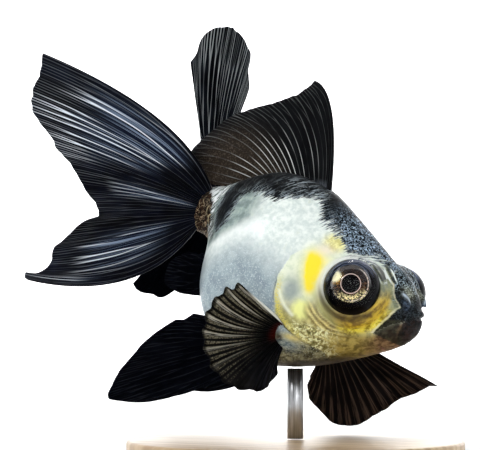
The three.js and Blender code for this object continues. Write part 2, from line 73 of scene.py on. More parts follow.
def unit(vectors):
    return vectors / np.maximum(lengths(vectors), 1e-9)


# Uniform Catmull-Rom through rows of numbers; t runs over the row numbers.
def through(rows, t, before=None):
    rows = np.asarray(rows, float)
    first = 2 * rows[0] - rows[1] if before is None else np.asarray(before, float)
    padded = np.concatenate([[first], rows, [2 * rows[-1] - rows[-2]]])
    i = np.clip(np.floor(t).astype(int), 0, len(rows) - 2)
    f = t - i
    if rows.ndim > 1:
        f = f[..., None]
    p0, p1, p2, p3 = padded[i], padded[i + 1], padded[i + 2], padded[i + 3]
    slope = 0.5 * (p2 - p0)
    bend = p0 - 2.5 * p1 + 2 * p2 - 0.5 * p3
    twist = 0.5 * (p3 - p0) + 1.5 * (p1 - p2)
    return p1 + f * (slope + f * (bend + f * twist))


# Value noise on a lattice, the same on every run: about -1 to 1.
noiseTable = chance.uniform(-1, 1, (64, 64, 64))


def wander(points, size):
    p = np.asarray(points) / size
    i = np.floor(p).astype(int)
    f = p - i
    f = f * f * (3 - 2 * f)
    total = 0
    for corner in range(8):
        step = np.array([corner & 1, corner >> 1 & 1, corner >> 2 & 1])
        weight = np.prod(np.where(step, f, 1 - f), axis=-1)
        x, y, z = np.moveaxis((i + step) % 64, -1, 0)
        total = total + weight * noiseTable[x, y, z]
    return total


def addMesh(name, points, faces, values=None, into=fishToFrame):
    m = np.array(into)
    points = np.asarray(points, float) @ m[:3, :3].T + m[:3, 3]
    mesh = bpy.data.meshes.new(name)
    faces = np.asarray(faces, int)
    mesh.vertices.add(len(points))
    mesh.vertices.foreach_set("co", points.astype(np.float32).ravel())
    mesh.loops.add(faces.size)
    mesh.loops.foreach_set("vertex_index", faces.astype(np.int32).ravel())
    mesh.polygons.add(len(faces))
    mesh.polygons.foreach_set("loop_start", np.arange(0, faces.size, faces.shape[1], dtype=np.int32))
    mesh.update(calc_edges=True)
    mesh.validate()
    mesh.polygons.foreach_set("use_smooth", np.ones(len(mesh.polygons), bool))
    for key, value in (values or {}).items():
        mesh.attributes.new(key, "FLOAT", "POINT").data.foreach_set("value", np.asarray(value, np.float32))
    piece = bpy.data.objects.new(name, mesh)
    bpy.context.scene.collection.objects.link(piece)
    return piece


# Faces of a grid of rows by columns, closed round its columns if asked.
def gridFaces(rows, columns, wrap=False, flip=False):
    r = np.arange(rows - 1)[:, None]
    c = np.arange(columns if wrap else columns - 1)[None, :]
    n = (c + 1) % columns
    quads = np.stack(np.broadcast_arrays(r * columns + c, r * columns + n,
                                         (r + 1) * columns + n, (r + 1) * columns + c), -1)
    quads = quads.reshape(-1, 4)
    return quads[:, ::-1] if flip else quads


def turned(profile, centre, axis, segments):  # a profile of (radius, height) turned about an axis
    axis = unit(np.asarray(axis, float))
    side = unit(np.cross(axis, [0, 0, 1] if abs(axis[2]) < 0.9 else [0, 1, 0]))
    over = np.cross(axis, side)
    angle = np.linspace(0, 2 * math.pi, segments, endpoint=False)
    ring = np.cos(angle)[:, None] * side + np.sin(angle)[:, None] * over
    radius, height = np.asarray(profile, float).T
    points = np.asarray(centre) + radius[:, None, None] * ring + height[:, None, None] * axis
    return points.reshape(-1, 3), gridFaces(len(profile), segments, wrap=True), angle


# The body's form: each column is one upright slice, from the lips back to the root of the tail.
stations = {
    "x": [36.6, 35.9, 33.8, 30.4, 25.6, 19.6, 12.6, 5.2, -2.4, -9.6, -16.0, -20.6, -23.0, -24.8, -27.0, -29.6, -32.4],
    "top": [-2.9, -0.2, 3.8, 7.6, 10.3, 14.1, 18.5, 22.7, 24.6, 24.4, 22.2, 19.8, 18.4, 17.4, 16.6, 15.8, 15.0],
    "bottom": [-3.3, -6.3, -8.8, -11.3, -13.9, -17.0, -20.2, -22.6, -23.8, -23.0, -19.6, -13.8,
               -6.6, 0.4, 2.8, 3.5, 4.0],
    "half": [0.0, 2.7, 4.8, 7.0, 9.4, 12.4, 15.2, 17.2, 18.0, 17.4, 15.3, 10.9, 6.8, 4.8, 4.1, 3.4, 2.5],
    "wide": [-3.1, -3.1, -2.6, -2.2, -2.2, -3.0, -4.2, -5.2, -6.0, -6.4, -5.8, -4.2, 2.2, 7.2, 9.2, 9.5, 9.5],
}
body = {"backShape": 1.85, "bellyShape": 2.15, "coatDepth": 0.3, "rings": 220, "around": 180, "grain": 0.34,
        "ease": 0.5, "easeRounds": 4}
lastStation = len(stations["x"]) - 1


def bodyPoint(t, turn):
    second = {key: values[1] for key, values in stations.items()}
    ends = {"x": second["x"], "top": second["bottom"], "bottom": second["top"],
            "half": -second["half"], "wide": second["wide"]}
    c = {key: through(values, t, ends[key]) for key, values in stations.items()}
    angle = 2 * math.pi * turn
    over = np.sin(angle) >= 0
    power = np.where(over, 2 / body["backShape"], 2 / body["bellyShape"])
    across = np.sign(np.cos(angle)) * np.abs(np.cos(angle)) ** power
    rise = np.where(over, c["top"], c["bottom"]) - c["wide"]
    return np.stack([c["x"] + 0 * angle, np.maximum(c["half"], 0) * across,
                     c["wide"] + rise * np.abs(np.sin(angle)) ** power], -1)


def bodyNormal(t, turn):
    step = 0.004
    around = bodyPoint(t, turn + step) - bodyPoint(t, turn - step)
    along = bodyPoint(np.maximum(t - step, 0.001), turn) - bodyPoint(t + step, turn)
    return unit(np.cross(around, along))


eye = {
    "place": {1: np.array([22.8, 12.8, 1.3]), -1: np.array([22.5, -12.8, 2.4])},  # left and right
    "look": np.array([0.33, 0.9, 0.28]), "radius": 6.9, "cornea": 5.4, "rise": 0.8, "collar": 7.8, "foot": 9.4,
    "iris": 4.55, "pupil": 2.15, "segments": 96, "socketSegments": 72,
}
mouth = {
    "line": [[27.8, 7.2, -7.6], [30.2, 6.6, -5.4], [32.7, 5.5, -3.4], [34.7, 3.9, -2.4], [35.9, 1.9, -1.7],
             [36.3, 0, -1.5]],
    "lip": 0.95, "apart": 0.76, "steps": 48, "sides": 12,
}
# place, half size and forward tilt of each flap
noseFlaps = [([32.9, 4.5, 2.3], [2.4, 1.05, 1.15], 0.8), ([31.5, 4.5, 3.9], [1.0, 0.8, 1.0], 0.2)]
flapRings, flapAround = 16, 24
mirror = np.array([1.0, -1.0, 1.0])


def ridge(path, thick, steps, sides):  # a round ridge of skin along a path, thin at both ends
    t = np.linspace(0, len(path) - 1, steps)
    middle = through(path, t)
    ahead = unit(np.gradient(middle, axis=0))
    side = unit(np.cross(ahead, [0, 0, 1]))
    over = np.cross(side, ahead)
    radius = thick * np.sin(math.pi * np.linspace(0.03, 0.97, steps)) ** 0.6
    angle = np.linspace(0, 2 * math.pi, sides, endpoint=False)
    points = (middle[:, None] + radius[:, None, None]
              * (np.cos(angle)[:, None] * side[:, None] + np.sin(angle)[:, None] * over[:, None]))
    return points.reshape(-1, 3), gridFaces(steps, sides, wrap=True)


def leaf(place, size, tilt):  # a small rounded flap of skin, tipped forward
    rise = np.linspace(-math.pi / 2 + 0.05, math.pi / 2 - 0.05, flapRings)[:, None]
    spin = np.linspace(0, 2 * math.pi, flapAround, endpoint=False)[None]
    ball = np.stack([np.cos(rise) * np.cos(spin), np.cos(rise) * np.sin(spin), np.sin(rise) + 0 * spin], -1) * size
    x, y, z = np.moveaxis(ball, -1, 0)
    turnedBall = np.stack([x * math.cos(tilt) + z * math.sin(tilt), y, z * math.cos(tilt) - x * math.sin(tilt)], -1)
    return (turnedBall + place).reshape(-1, 3), gridFaces(flapRings, flapAround, wrap=True)


def fishShells():
    shells = []
    t = lastStation * np.linspace(0.002, 1, body["rings"]) ** 1.15  # closer together towards the lips
    turn = np.linspace(0, 1, body["around"], endpoint=False)
    tt, uu = np.meshgrid(t, turn, indexing="ij")
    points = bodyPoint(tt, uu) - body["coatDepth"] * bodyNormal(tt, uu)
    shells.append((points.reshape(-1, 3), gridFaces(len(t), len(turn), wrap=True, flip=True), len(turn)))
    r, foot = eye["collar"], eye["foot"]
    profile = [(0.2, -7), (foot - 1.7, -7), (foot - 0.3, -4.8), (foot - 0.75, -3.2), (r + 0.65, -1.8),
               (r + 0.1, -0.6), (r - 0.2, 0.5), (r - 0.42, 1.0), (r - 0.85, 1.15), (r - 1.3, 0.8), (0.2, 0.6)]
    for side in (1, -1):
        points, faces, _ = turned(profile, eye["place"][side], eye["look"] * [1, side, 1], eye["socketSegments"])
        shells.append((points, faces, eye["socketSegments"]))
    line = np.array(mouth["line"])
    whole = np.concatenate([line[1:], line[-2:0:-1] * mirror])
    inward = np.array([-0.85, 0, 0]) * np.ones((len(whole), 1)) - whole * [0, 0.09, 0]
    for over in (1, -1):
        path = whole + inward + [0, 0, over * mouth["apart"]]
        points, faces = ridge(path, mouth["lip"], mouth["steps"], mouth["sides"])
        shells.append((points, faces, mouth["sides"]))
    for place, size, tilt in noseFlaps:
        points, faces = leaf(place, size, tilt)
        shells += [(points, faces, flapAround), (points * mirror, faces[:, ::-1], flapAround)]
    return shells


def closeEnds(points, faces, ring):  # caps both ends of a wrapped grid with a fan round a middle point
    count = len(points)
    points = np.concatenate([points, [points[:ring].mean(0)], [points[-ring:].mean(0)]])
    k = np.arange(ring)
    first = np.stack([k, np.full(ring, count), (k + 1) % ring, k], -1)
    last = np.stack([count - ring + k, count - ring + (k + 1) % ring, np.full(ring, count + 1),
                     count - ring + k], -1)
    return points, faces, np.concatenate([first, last])[:, :3]


def buildSkin():
    allPoints, triangles, start = [], [], 0
    for points, faces, ring in fishShells():
        points, faces, caps = closeEnds(points, faces, ring)
        quads = np.concatenate([faces[:, [0, 1, 2]], faces[:, [0, 2, 3]]])
        triangles.append(np.concatenate([quads, caps]) + start)
        allPoints.append(points)
        start += len(points)
    rough = addMesh("skinShells", np.concatenate(allPoints), np.concatenate(triangles), into=Matrix())
    remesh = rough.modifiers.new("join", "REMESH")
    remesh.mode = "VOXEL"
    remesh.voxel_size = body["grain"]
    ease = rough.modifiers.new("ease", "SMOOTH")
    ease.factor = body["ease"]
    ease.iterations = body["easeRounds"]
    made = bpy.data.meshes.new_from_object(rough.evaluated_get(bpy.context.evaluated_depsgraph_get()))
    points = np.zeros(len(made.vertices) * 3, np.float32)
    made.vertices.foreach_get("co", points)
    faces = np.array([list(p.vertices) if len(p.vertices) == 4 else list(p.vertices) + [p.vertices[0]]
                      for p in made.polygons])
    bpy.data.objects.remove(rough)
    return points.reshape(-1, 3).astype(float), faces


def meshNormals(points, faces):
    normal = np.zeros_like(points)
    a, b, c, d = (points[faces[:, k]] for k in range(4))
    face = np.cross(c - a, d - b)
    for k in range(4):
        np.add.at(normal, faces[:, k], face)
    return unit(normal)


# Distance from points to a smooth path, with how far along it each nearest place is, 0 to 1.
def toPath(points, path, samples=90):
    line = through(path, np.linspace(0, len(path) - 1, samples))
    best = np.full(len(points), 1e9)
    where = np.zeros(len(points))
    for k, place in enumerate(line):
        gap = ((points - place) ** 2).sum(-1)
        nearer = gap < best
        best[nearer], where[nearer] = gap[nearer], k / (samples - 1)
    return np.sqrt(best), where


def folded(points):  # brings both sides of the fish to its left side
    return points * np.where(points[:, 1:2] < 0, mirror, 1)


def fromEye(points):  # distance from the middle of the eyeball on that side
    return lengths(points - np.where(points[:, 1:2] > 0, eye["place"][1], eye["place"][-1]))[:, 0]


# Creases of the head: path, depth and half width.
creases = [
    ([[15.0, 14.2, 1.0], [15.1, 14.1, -2.5], [15.8, 13.7, -6.3], [17.9, 12, -9.2], [20.6, 10.1, -10.5],
      [24.5, 8.6, -10.0]], 0.34, 0.42),
    ([[13.3, 14.5, -8.0], [13.1, 13.8, -10.5], [15.3, 11.6, -12.9], [18.7, 9.5, -13.2], [23.5, 6.6, -12.6]], 0.3, 0.4),
    ([[29.0, 4.4, 6.0], [30.2, 6.0, 2.6], [31.6, 5.6, -0.4], [30.0, 6.8, -3.5], [27.6, 7.4, -7.0]], 0.3, 0.42),
    ([[16.0, 13.2, -9.0], [19.0, 11.4, -8.0], [23.0, 11.2, -7.4], [27.0, 8.8, -6.0]], -0.22, 0.9),
]
nostril = [[33.0, 5.4, 0.6], [34.2, 4.4, 0.4], [35.2, 2.9, 0.3]]
# Rings of skin under the eye: distance from its middle, height and half width.
eyeRings = [(10.4, -0.16, 0.4), (11.3, 0.16, 0.45), (11.95, -0.2, 0.25), (12.5, 0.16, 0.3), (13.1, -0.18, 0.35),
            (15.0, 0.1, 0.4), (16.4, 0.1, 0.4)]
gillEdge = [[8.8, 14.0, 9.4], [5.6, 15.6, 6.0], [4.2, 16.8, 1.0], [4.5, 16.9, -3.5], [6.0, 16.5, -8.2],
            [8.8, 15.0, -11.2], [12.6, 12.8, -13.6], [17.0, 9.4, -15.2]]


def gillSide(points):  # signed distance forward of the gill cover's rear edge
    zs = np.array([g[2] for g in gillEdge][::-1])
    xs = np.array([g[0] for g in gillEdge][::-1])
    away, where = toPath(points, gillEdge)
    ahead = points[:, 0] - np.interp(points[:, 2], zs, xs)
    return np.where(ahead > 0, away, -away), where


def sculpt(points):  # how far the skin stands out, in millimetres
    near = folded(points)
    lift = np.zeros(len(points))
    for path, depth, width in creases:
        away, where = toPath(near, path)
        lift -= depth * hump(away, 0, width) * smooth(0, 0.12, where) * smooth(1, 0.85, where)
    side, where = gillSide(near)
    ends = smooth(0.05, 0.35, where) * smooth(1, 0.8, where)
    lift += ends * (0.26 * smooth(-0.15, 0.25, side) * smooth(7, 0.6, side) - 0.3 * hump(side, -0.35, 0.3))
    away, where = toPath(near, mouth["line"])
    lift -= (0.35 + 0.3 * smooth(0.25, 0.5, where)) * hump(away, 0, 0.36) * smooth(0, 0.1, where)
    lift -= 0.5 * hump(toPath(near, nostril)[0], 0, 0.4)
    for k, gap in enumerate((0.0, 0.9, 1.8)):  # wrinkles between the eye and the snout
        away, where = toPath(near, [[25.4 + gap, 7.3 - 0.5 * k, 8.0 - 0.9 * k],
                                    [28.0 + gap * 0.8, 6.9 - 0.5 * k, 4.8], [29.0 + gap * 0.6, 7.0 - 0.4 * k, 1.4]])
        lift -= 0.16 * hump(away, 0, 0.34) * smooth(0, 0.2, where) * smooth(1, 0.8, where)
    eyeAway = fromEye(points) + 0.25 * wander(near, 2.5)
    arcs = smooth(-2.5, -5.5, near[:, 2]) * smooth(12.5, 15, near[:, 0]) * smooth(27, 22, near[:, 0])
    for away, high, width in eyeRings:
        lift += arcs * high * hump(eyeAway, away, width)
    lift += smooth(27, 32, points[:, 0]) * 0.1 * wander(points * [1.6, 1, 1], 0.9)
    lift += 0.05 * smooth(2, 14, points[:, 0]) * wander(points, 1.6)
    return lift


# The coat's pattern. Each edge is two matching rows: x and z, or z and x where its name ends in Z.
pattern = {
    "saddleX": ([-30, -22, -15.2, -13, -9, -4.7, -2.4, 1.2, 3.6, 5.0, 6.5, 8.4, 11.6, 14.4, 16.3, 17.5, 19, 22, 24.5,
                 27, 29, 30.5, 38],
                [14, 14.5, 15.7, 17.4, 17.6, 17.4, 18.6, 19.5, 20.4, 20.2, 18.0, 16.0, 14.5, 12.4, 10.2, 9.7, 9.7,
                 9.9, 9.0, 7.4, 5.6, 2, -2]),
    "bandRearZ": ([6, 7, 8.6, 10.5, 12, 14.5, 17, 18.5], [-19.0, -20.8, -22.8, -24.0, -24.3, -23.6, -22.6, -21.6]),
    "bandFrontZ": ([6, 7, 8.6, 10.5, 12, 14.5, 17, 18.5], [-19.4, -17.2, -15.6, -15.2, -15.1, -15.1, -15.4, -15.6]),
    "rootZ": ([0, 2, 8, 12, 16, 18], [-24.0, -24.4, -25.0, -26.2, -28.6, -30.0]),
    "snoutZ": ([-13, -9.6, -8.6, -7.3, -5.8, -4.0, -2.2, -0.4, 0.2, 1.2, 2.4, 3.9, 5.1, 6.3],
               [36.5, 33.9, 31.5, 27.8, 28.9, 30.0, 31.0, 32.0, 32.7, 31.9, 30.6, 30.0, 29.6, 28.0]),
    "blueX": ([-20.7, -17.3, -14.5, -11, -8, -3.4, 0, 5.6], [-1.4, 1.0, 3.6, 6.6, 8.2, 8.0, 7.0, 5.4]),
    "lines": {  # places along each, and its half width
        "pale": ([[29.3, 3.6, 6.6], [29.4, 5.2, 5.0], [29.9, 5.9, 3.3], [31.4, 5.9, 0.6], [32.7, 5.2, 0.1],
                  [31.2, 6.4, -2.2], [29.8, 7.2, -3.8], [28.2, 7.6, -5.6], [26.8, 7.3, -7.9]], 1.7),
        "lobe": ([[32.4, 5.7, 3.0], [33.4, 5.2, 1.7], [34.3, 4.3, 0.7]], 1.0),
        "flapEdgeHighlight": ([[32.5, 5.3, 3.6], [33.4, 4.9, 3.0], [34.2, 4.4, 2.2], [34.9, 3.0, 1.2]], 0.32),
        "foldLine": ([[5.7, 17.0, -2.6], [6.5, 16.8, -4.1], [7.9, 16.5, -5.9], [9.9, 15.6, -7.6]], 0.42),
    },
    "spots": {  # middle and half size
        "patch": ([13.7, 9.4, 11.3], [3.1, 3, 2.5]), "limeAndGlint": ([11.9, 15.2, -5.7], [2.5, 3, 2.4]),
        "blush": ([12.6, 11.6, 9.3], [2.2, 3, 1.3]), "greySpot": ([8.4, 16.1, -1.7], [2.3, 3, 3.2]),
        "ringCream": ([15.6, 13.4, -0.5], [2.2, 3, 4.5]), "nape": ([-0.8, 4.6, 22.4], [5.0, 3.6, 1.8]),
        "snoutHighlight": ([33.6, 3.0, 4.4], [2.0, 1.9, 1.5]), "breastBlue": ([9.2, 12.8, -15.2], [2.6, 3, 2.0]),
        "breastGold": ([10.4, 13.5, -13.2], [2.4, 2.6, 0.9]),
    },
    "arcHighlightRings": [(13.9, 0.5), (15.0, 0.6), (16.4, 0.45), (17.7, 0.5)],  # distance from the eye, strength
    # distances from the eye of the painted shade lines in the creases under the eye
    "arcShadeRings": [9.7, 10.8, 12.0, 13.2, 14.4, 15.7, 17.0],
}


def near3(points, centre, size):
    return np.exp(-(((points - centre) / size) ** 2).sum(-1))


def markings(points):  # how strongly each mark of the coat shows at each point, or how far it lies from an edge
    p = folded(points)
    x, y, z = p.T
    leftSide = points[:, 1] > 0
    soft = wander(points, 3.0)
    saddle = z - np.interp(x, *pattern["saddleX"]) + 0.5 * soft
    around = np.arctan2(z, y) * 14
    bandRear = np.interp(z, *pattern["bandRearZ"])
    band = np.minimum(x - bandRear, np.interp(z, *pattern["bandFrontZ"]) - x)
    saddle = np.maximum(saddle - 9 * smooth(-20.5, -22.5, x), np.where((z > 5) & (x < -14), band, -5))
    # the dark snout, from its edge with the pale cheek; on the left it runs on under the eye
    snoutX = np.interp(z, *pattern["snoutZ"])
    snout = x - snoutX + 0.2 * soft
    mouthX, _, mouthZ = np.array(mouth["line"][:-1]).T
    belowMouth = np.interp(x, mouthX, mouthZ) - z
    snout = np.where(belowMouth > 0, np.minimum(snout, x - 33.9 + 0.25 * belowMouth), snout)
    snout = np.where(leftSide, np.maximum(snout, np.minimum(x - 20.5 - 0.35 * (y - 5), z + 3.0)), snout)
    crease = 0.667 * x + 0.745 * z + 0.12 * soft  # across the folds of skin before the right eye
    # the folds of skin before the right eye, where their painted shade and highlight go
    foldShadeAndHighlight = (hump(0.745 * x - 0.667 * z, 15.7, 2.4) * np.exp(-((crease - 23.7) / 0.95) ** 4)
               * smooth(2.6, 3.6, y) * ~leftSide)
    crown = (smooth(7, 15, x) * smooth(-1, 1.5, np.maximum(saddle, snout))
             * np.maximum(smooth(2.4, 4.4, z), smooth(28, 26, x)))
    eyeAway = fromEye(points)
    gill, where = gillSide(p)
    ahead = (x - np.interp(z, [-1.6, 3.5, 8.0], [12.4, 11.2, 10.2])) / np.interp(z, [-2.5, 3.0], [0.65, 1.0])
    yellow = 0.95 * hump(ahead, 0, np.where(ahead > 0, 2.6, 1.8)) * smooth(-4.2, 0.5, z) * smooth(11.0, 6.0, z)
    wavy = eyeAway + 0.3 * wander(p, 2.4)
    below = smooth(-2.0, -5.5, z) * smooth(11.5, 14, x)
    # pale lines on the folds under the eye: pale skin with a painted highlight on each fold
    paleArcHighlight = below * smooth(25, 20, x) * (hump(wavy, 11.4, 0.26) + hump(wavy, 12.6, 0.28)
                                           + 0.6 * hump(wavy, 10.3, 0.2))
    paleArcHighlight += sum(below * smooth(25, 19, x) * amount * hump(wavy + 0.5 * wander(p, 1.3), far, 0.3)
                   for far, amount in pattern["arcHighlightRings"])
    # painted shade in the creases between the folds under the eye
    arcFoldShade = sum(below * smooth(26, 21, x) * hump(wavy + 0.5 * wander(p, 1.5), far, 0.34)
                  for far in pattern["arcShadeRings"])
    gold = hump(eyeAway, 10.2, 2.1) * smooth(0.5, -3.5, z - 0.3 * (x - 26)) * smooth(17.5, 23.5, x)
    overBlue = z - np.interp(x, *pattern["blueX"])
    return {
        **{key: hump(toPath(p, path)[0], 0, wide) for key, (path, wide) in pattern["lines"].items()},
        **{key: near3(p, middle, size) for key, (middle, size) in pattern["spots"].items()},
        "saddle": saddle, "rootDark": np.interp(z, *pattern["rootZ"]) - x + 0.9 * soft, "snoutDark": snout,
        "crown": crown * (1 - near3(p, [31.0, 5.4, 2.8], [1.5, 2, 1.7])),
        "yellow": yellow + 0.42 * near3(p, [12.9, 13.0, 5.6], [3.8, 5, 5.4]),
        "gillRim": hump(gill, 0.9, 0.85) * smooth(0.22, 0.42, where) * smooth(-13.8, -11.4, z),
        "gold": np.maximum(gold, 1.3 * near3(p, [28.5, 8.6, -2.6], [2.5, 4, 2.5])),
        # painted shadow under the eye's rim
        "eyeRingShadow": hump(eyeAway, 7.6, 0.8) * smooth(1.5, -2.5, z + 0.15 * (x - 22)),
        "arcGold": below * smooth(9.8, 10.8, wavy) * smooth(14.2, 12.8, wavy) * smooth(25.5, 21, x),
        "paleArcHighlight": paleArcHighlight, "arcFoldShade": arcFoldShade,
        # where the crinkled skin of the lower head gets its painted highlights and shade
        "flecksAndCrinkleLight": smooth(-8.2, -10, z) * smooth(-18.6, -15.5, z) * smooth(8.5, 11, x) * smooth(23, 18.5, x),
        "rearPatch": smooth(0.2, -0.8, x - bandRear + 0.8 * soft) * smooth(2.5, 5, z),
        "highRear": smooth(9, 13.5, z),
        "crease": crease, "foldShadeAndHighlight": foldShadeAndHighlight,
        "blue": (0.45 * smooth(4.0, -4.5, overBlue - 1.2 * soft) + 0.55 * smooth(0, -9, overBlue))
        * smooth(0.4, -0.4, gill),
        "mint": smooth(-3.5, -12.0, x + 0.25 * (z - 12)) * smooth(1.6, 4.4, overBlue - 0.6 * soft),
        # painted highlight: a near-white band along the upper flank
        "flankHighlight": hump(overBlue - 1.8 - 1.2 * soft, 0, 2.2) * smooth(-20, -16, x) * smooth(-1, -7, x),
        "cheek": smooth(-0.4, 0.8, gill) * smooth(12, 4, z),
        "olive": smooth(-0.3, 0.3, gill) * smooth(-2.0, -8.5, z + 0.12 * (x - 12)),
        "lowRing": smooth(10.8, 9.4, eyeAway) * smooth(2.6, -2.4, z - 0.3 * (x - 22)),
        "front": smooth(18, 24, x),
        # darker towards the underside: the skin's olive with painted shade beneath the body
        "oliveUndersideShade": smooth(-13.0, -17.5, z - 0.18 * np.maximum(x - 8, 0)) * smooth(-6, 4, x),
        "lowBrown": smooth(15.5, 21, x) * smooth(-9.0, -12.0, z - 0.3 * (x - 18)),
        "brown": smooth(23, 30, x) * smooth(-1.0, 1.2, belowMouth - 0.4 * np.maximum(30 - x, 0)),
        "breast": smooth(0.4, -0.4, gill) * smooth(-11.0, -14.5, z) * smooth(-4, 3, x),
        "red": near3(p, [6.6, 14.5, -12.9], [1.8, 2.6, 2.3]) * (0.7 + 0.6 * soft),
        "socket": smooth(9.6, 8.1, eyeAway) * smooth(-4.0, 1.5, z - 0.45 * (x - 22))
        * (1 - 0.6 * smooth(25.5, 29, x)),
        "fold": smooth(-0.1, 0.25, x - snoutX) * smooth(-0.4, 0.1, belowMouth + 1.3 - 0.5 * (x - 31))
        * smooth(34.5, 32.5, x),
        "greyFront": smooth(14.5, 12.5, eyeAway) * smooth(24.2, 26.4, x) * smooth(-3.5, 0.5, z),
        "keel": smooth(-15.6, -18.0, around) * smooth(-6, 0, x) * smooth(28, 18, x),
        "gill": gill, "lowGill": smooth(-8.0, -10.5, z) * smooth(-18, -15.5, z),
        # painted shade along the lower rear edge of the body
        "rearEdgeShade": smooth(-15.5, -20.5, x) * smooth(3, -3, z),
        "along": x, "around": around,
        "lie": around - 0.85 * x - 0.8 * np.interp(x, [2, 5, 9, 40], [0, 0.8, 4, 35]),
    }


class Wire:  # one output socket, with the arithmetic the finishes need
    def __init__(self, graph, socket):
        self.graph, self.socket = graph, socket

    def reckon(self, operation, *others):
        return self.graph.node("ShaderNodeMath", {"operation": operation}, dict(enumerate([self, *others])))

    def __add__(self, other): return self.reckon("ADD", other)
    def __radd__(self, other): return self.reckon("ADD", other)
    def __sub__(self, other): return self.reckon("SUBTRACT", other)
    def __rsub__(self, other): return (self * -1).reckon("ADD", other)
    def __mul__(self, other): return self.reckon("MULTIPLY", other)
    def __rmul__(self, other): return self.reckon("MULTIPLY", other)
    def __pow__(self, other): return self.reckon("POWER", other)
    def __abs__(self): return self.reckon("ABSOLUTE")
    def fract(self): return self.reckon("FRACT")
    def most(self, other): return self.reckon("MAXIMUM", other)
    def least(self, other): return self.reckon("MINIMUM", other)

    def span(self, low, high, start=0.0, end=1.0, kind="SMOOTHSTEP"):
        return self.graph.node("ShaderNodeMapRange", {"interpolation_type": kind},
                               {0: self, 1: low, 2: high, 3: start, 4: end})


class Finish:  # one material and its nodes
    def __init__(self, name):
        self.material = bpy.data.materials.new(name)
        self.material.use_nodes = True
        self.tree = self.material.node_tree
        self.tree.nodes.clear()

    def node(self, kind, settings=None, inputs=None, out=0):
        made = self.tree.nodes.new(kind)
        for key, value in (settings or {}).items():
            setattr(made, key, value)
        for key, value in (inputs or {}).items():
            socket = made.inputs[key]
            if isinstance(value, Wire):
                self.tree.links.new(value.socket, socket)
            else:
                socket.default_value = (*value, 1) if socket.type == "RGBA" and len(value) == 3 else value
        return Wire(self, made.outputs[out]) if made.outputs else None

    def value(self, name):
        return self.node("ShaderNodeAttribute", {"attribute_name": name}, out=2)

    def place(self):
        return self.node("ShaderNodeTexCoord", out=3)

    def noise(self, where, size, detail=3.0, rough=0.55, distortion=0.0):
        return self.node("ShaderNodeTexNoise", None, {"Vector": where, "Scale": 1 / size, "Detail": detail,
                                                      "Roughness": rough, "Distortion": distortion})

    def vector(self, x, y, z=0.0):
        return self.node("ShaderNodeCombineXYZ", None, {0: x, 1: y, 2: z})

    def mix(self, first, second, amount):
        return self.node("ShaderNodeMix", {"data_type": "RGBA"}, {0: amount, 6: first, 7: second}, out=2)

    # Two tones with the grain between them: from first to last of it, or as it is.
    def shade(self, low, high, grain, first=None, last=None):
        return self.mix(rgb(*low), rgb(*high), grain if first is None else grain.span(first, last))

    # Coats laid one over another: how much of each, then its tone, or what shade() asks for.
    def lay(self, under, *coats):
        for amount, tone, *rest in coats:
            if rest:
                tone = self.shade(tone, *rest)
            elif not isinstance(tone, Wire):
                tone = rgb(*tone)
            under = self.mix(under, tone, amount)
        return under

    def bump(self, height, strength, depth):
        return self.node("ShaderNodeBump", None, {"Height": height, "Strength": strength, "Distance": depth})

    def surface(self, **inputs):
        named = {key.replace("_", " "): value for key, value in inputs.items()}
        shader = self.node("ShaderNodeBsdfPrincipled", None, named)
        self.node("ShaderNodeOutputMaterial", None, {"Surface": shader})
        return self.material


def rgb(r, g, b):  # a colour as it shows on screen, 0 to 255, made linear
    return tuple((c / 255 / 12.92) if c < 11 else (((c / 255) + 0.055) / 1.055) ** 2.4 for c in (r, g, b))


mm = 0.001


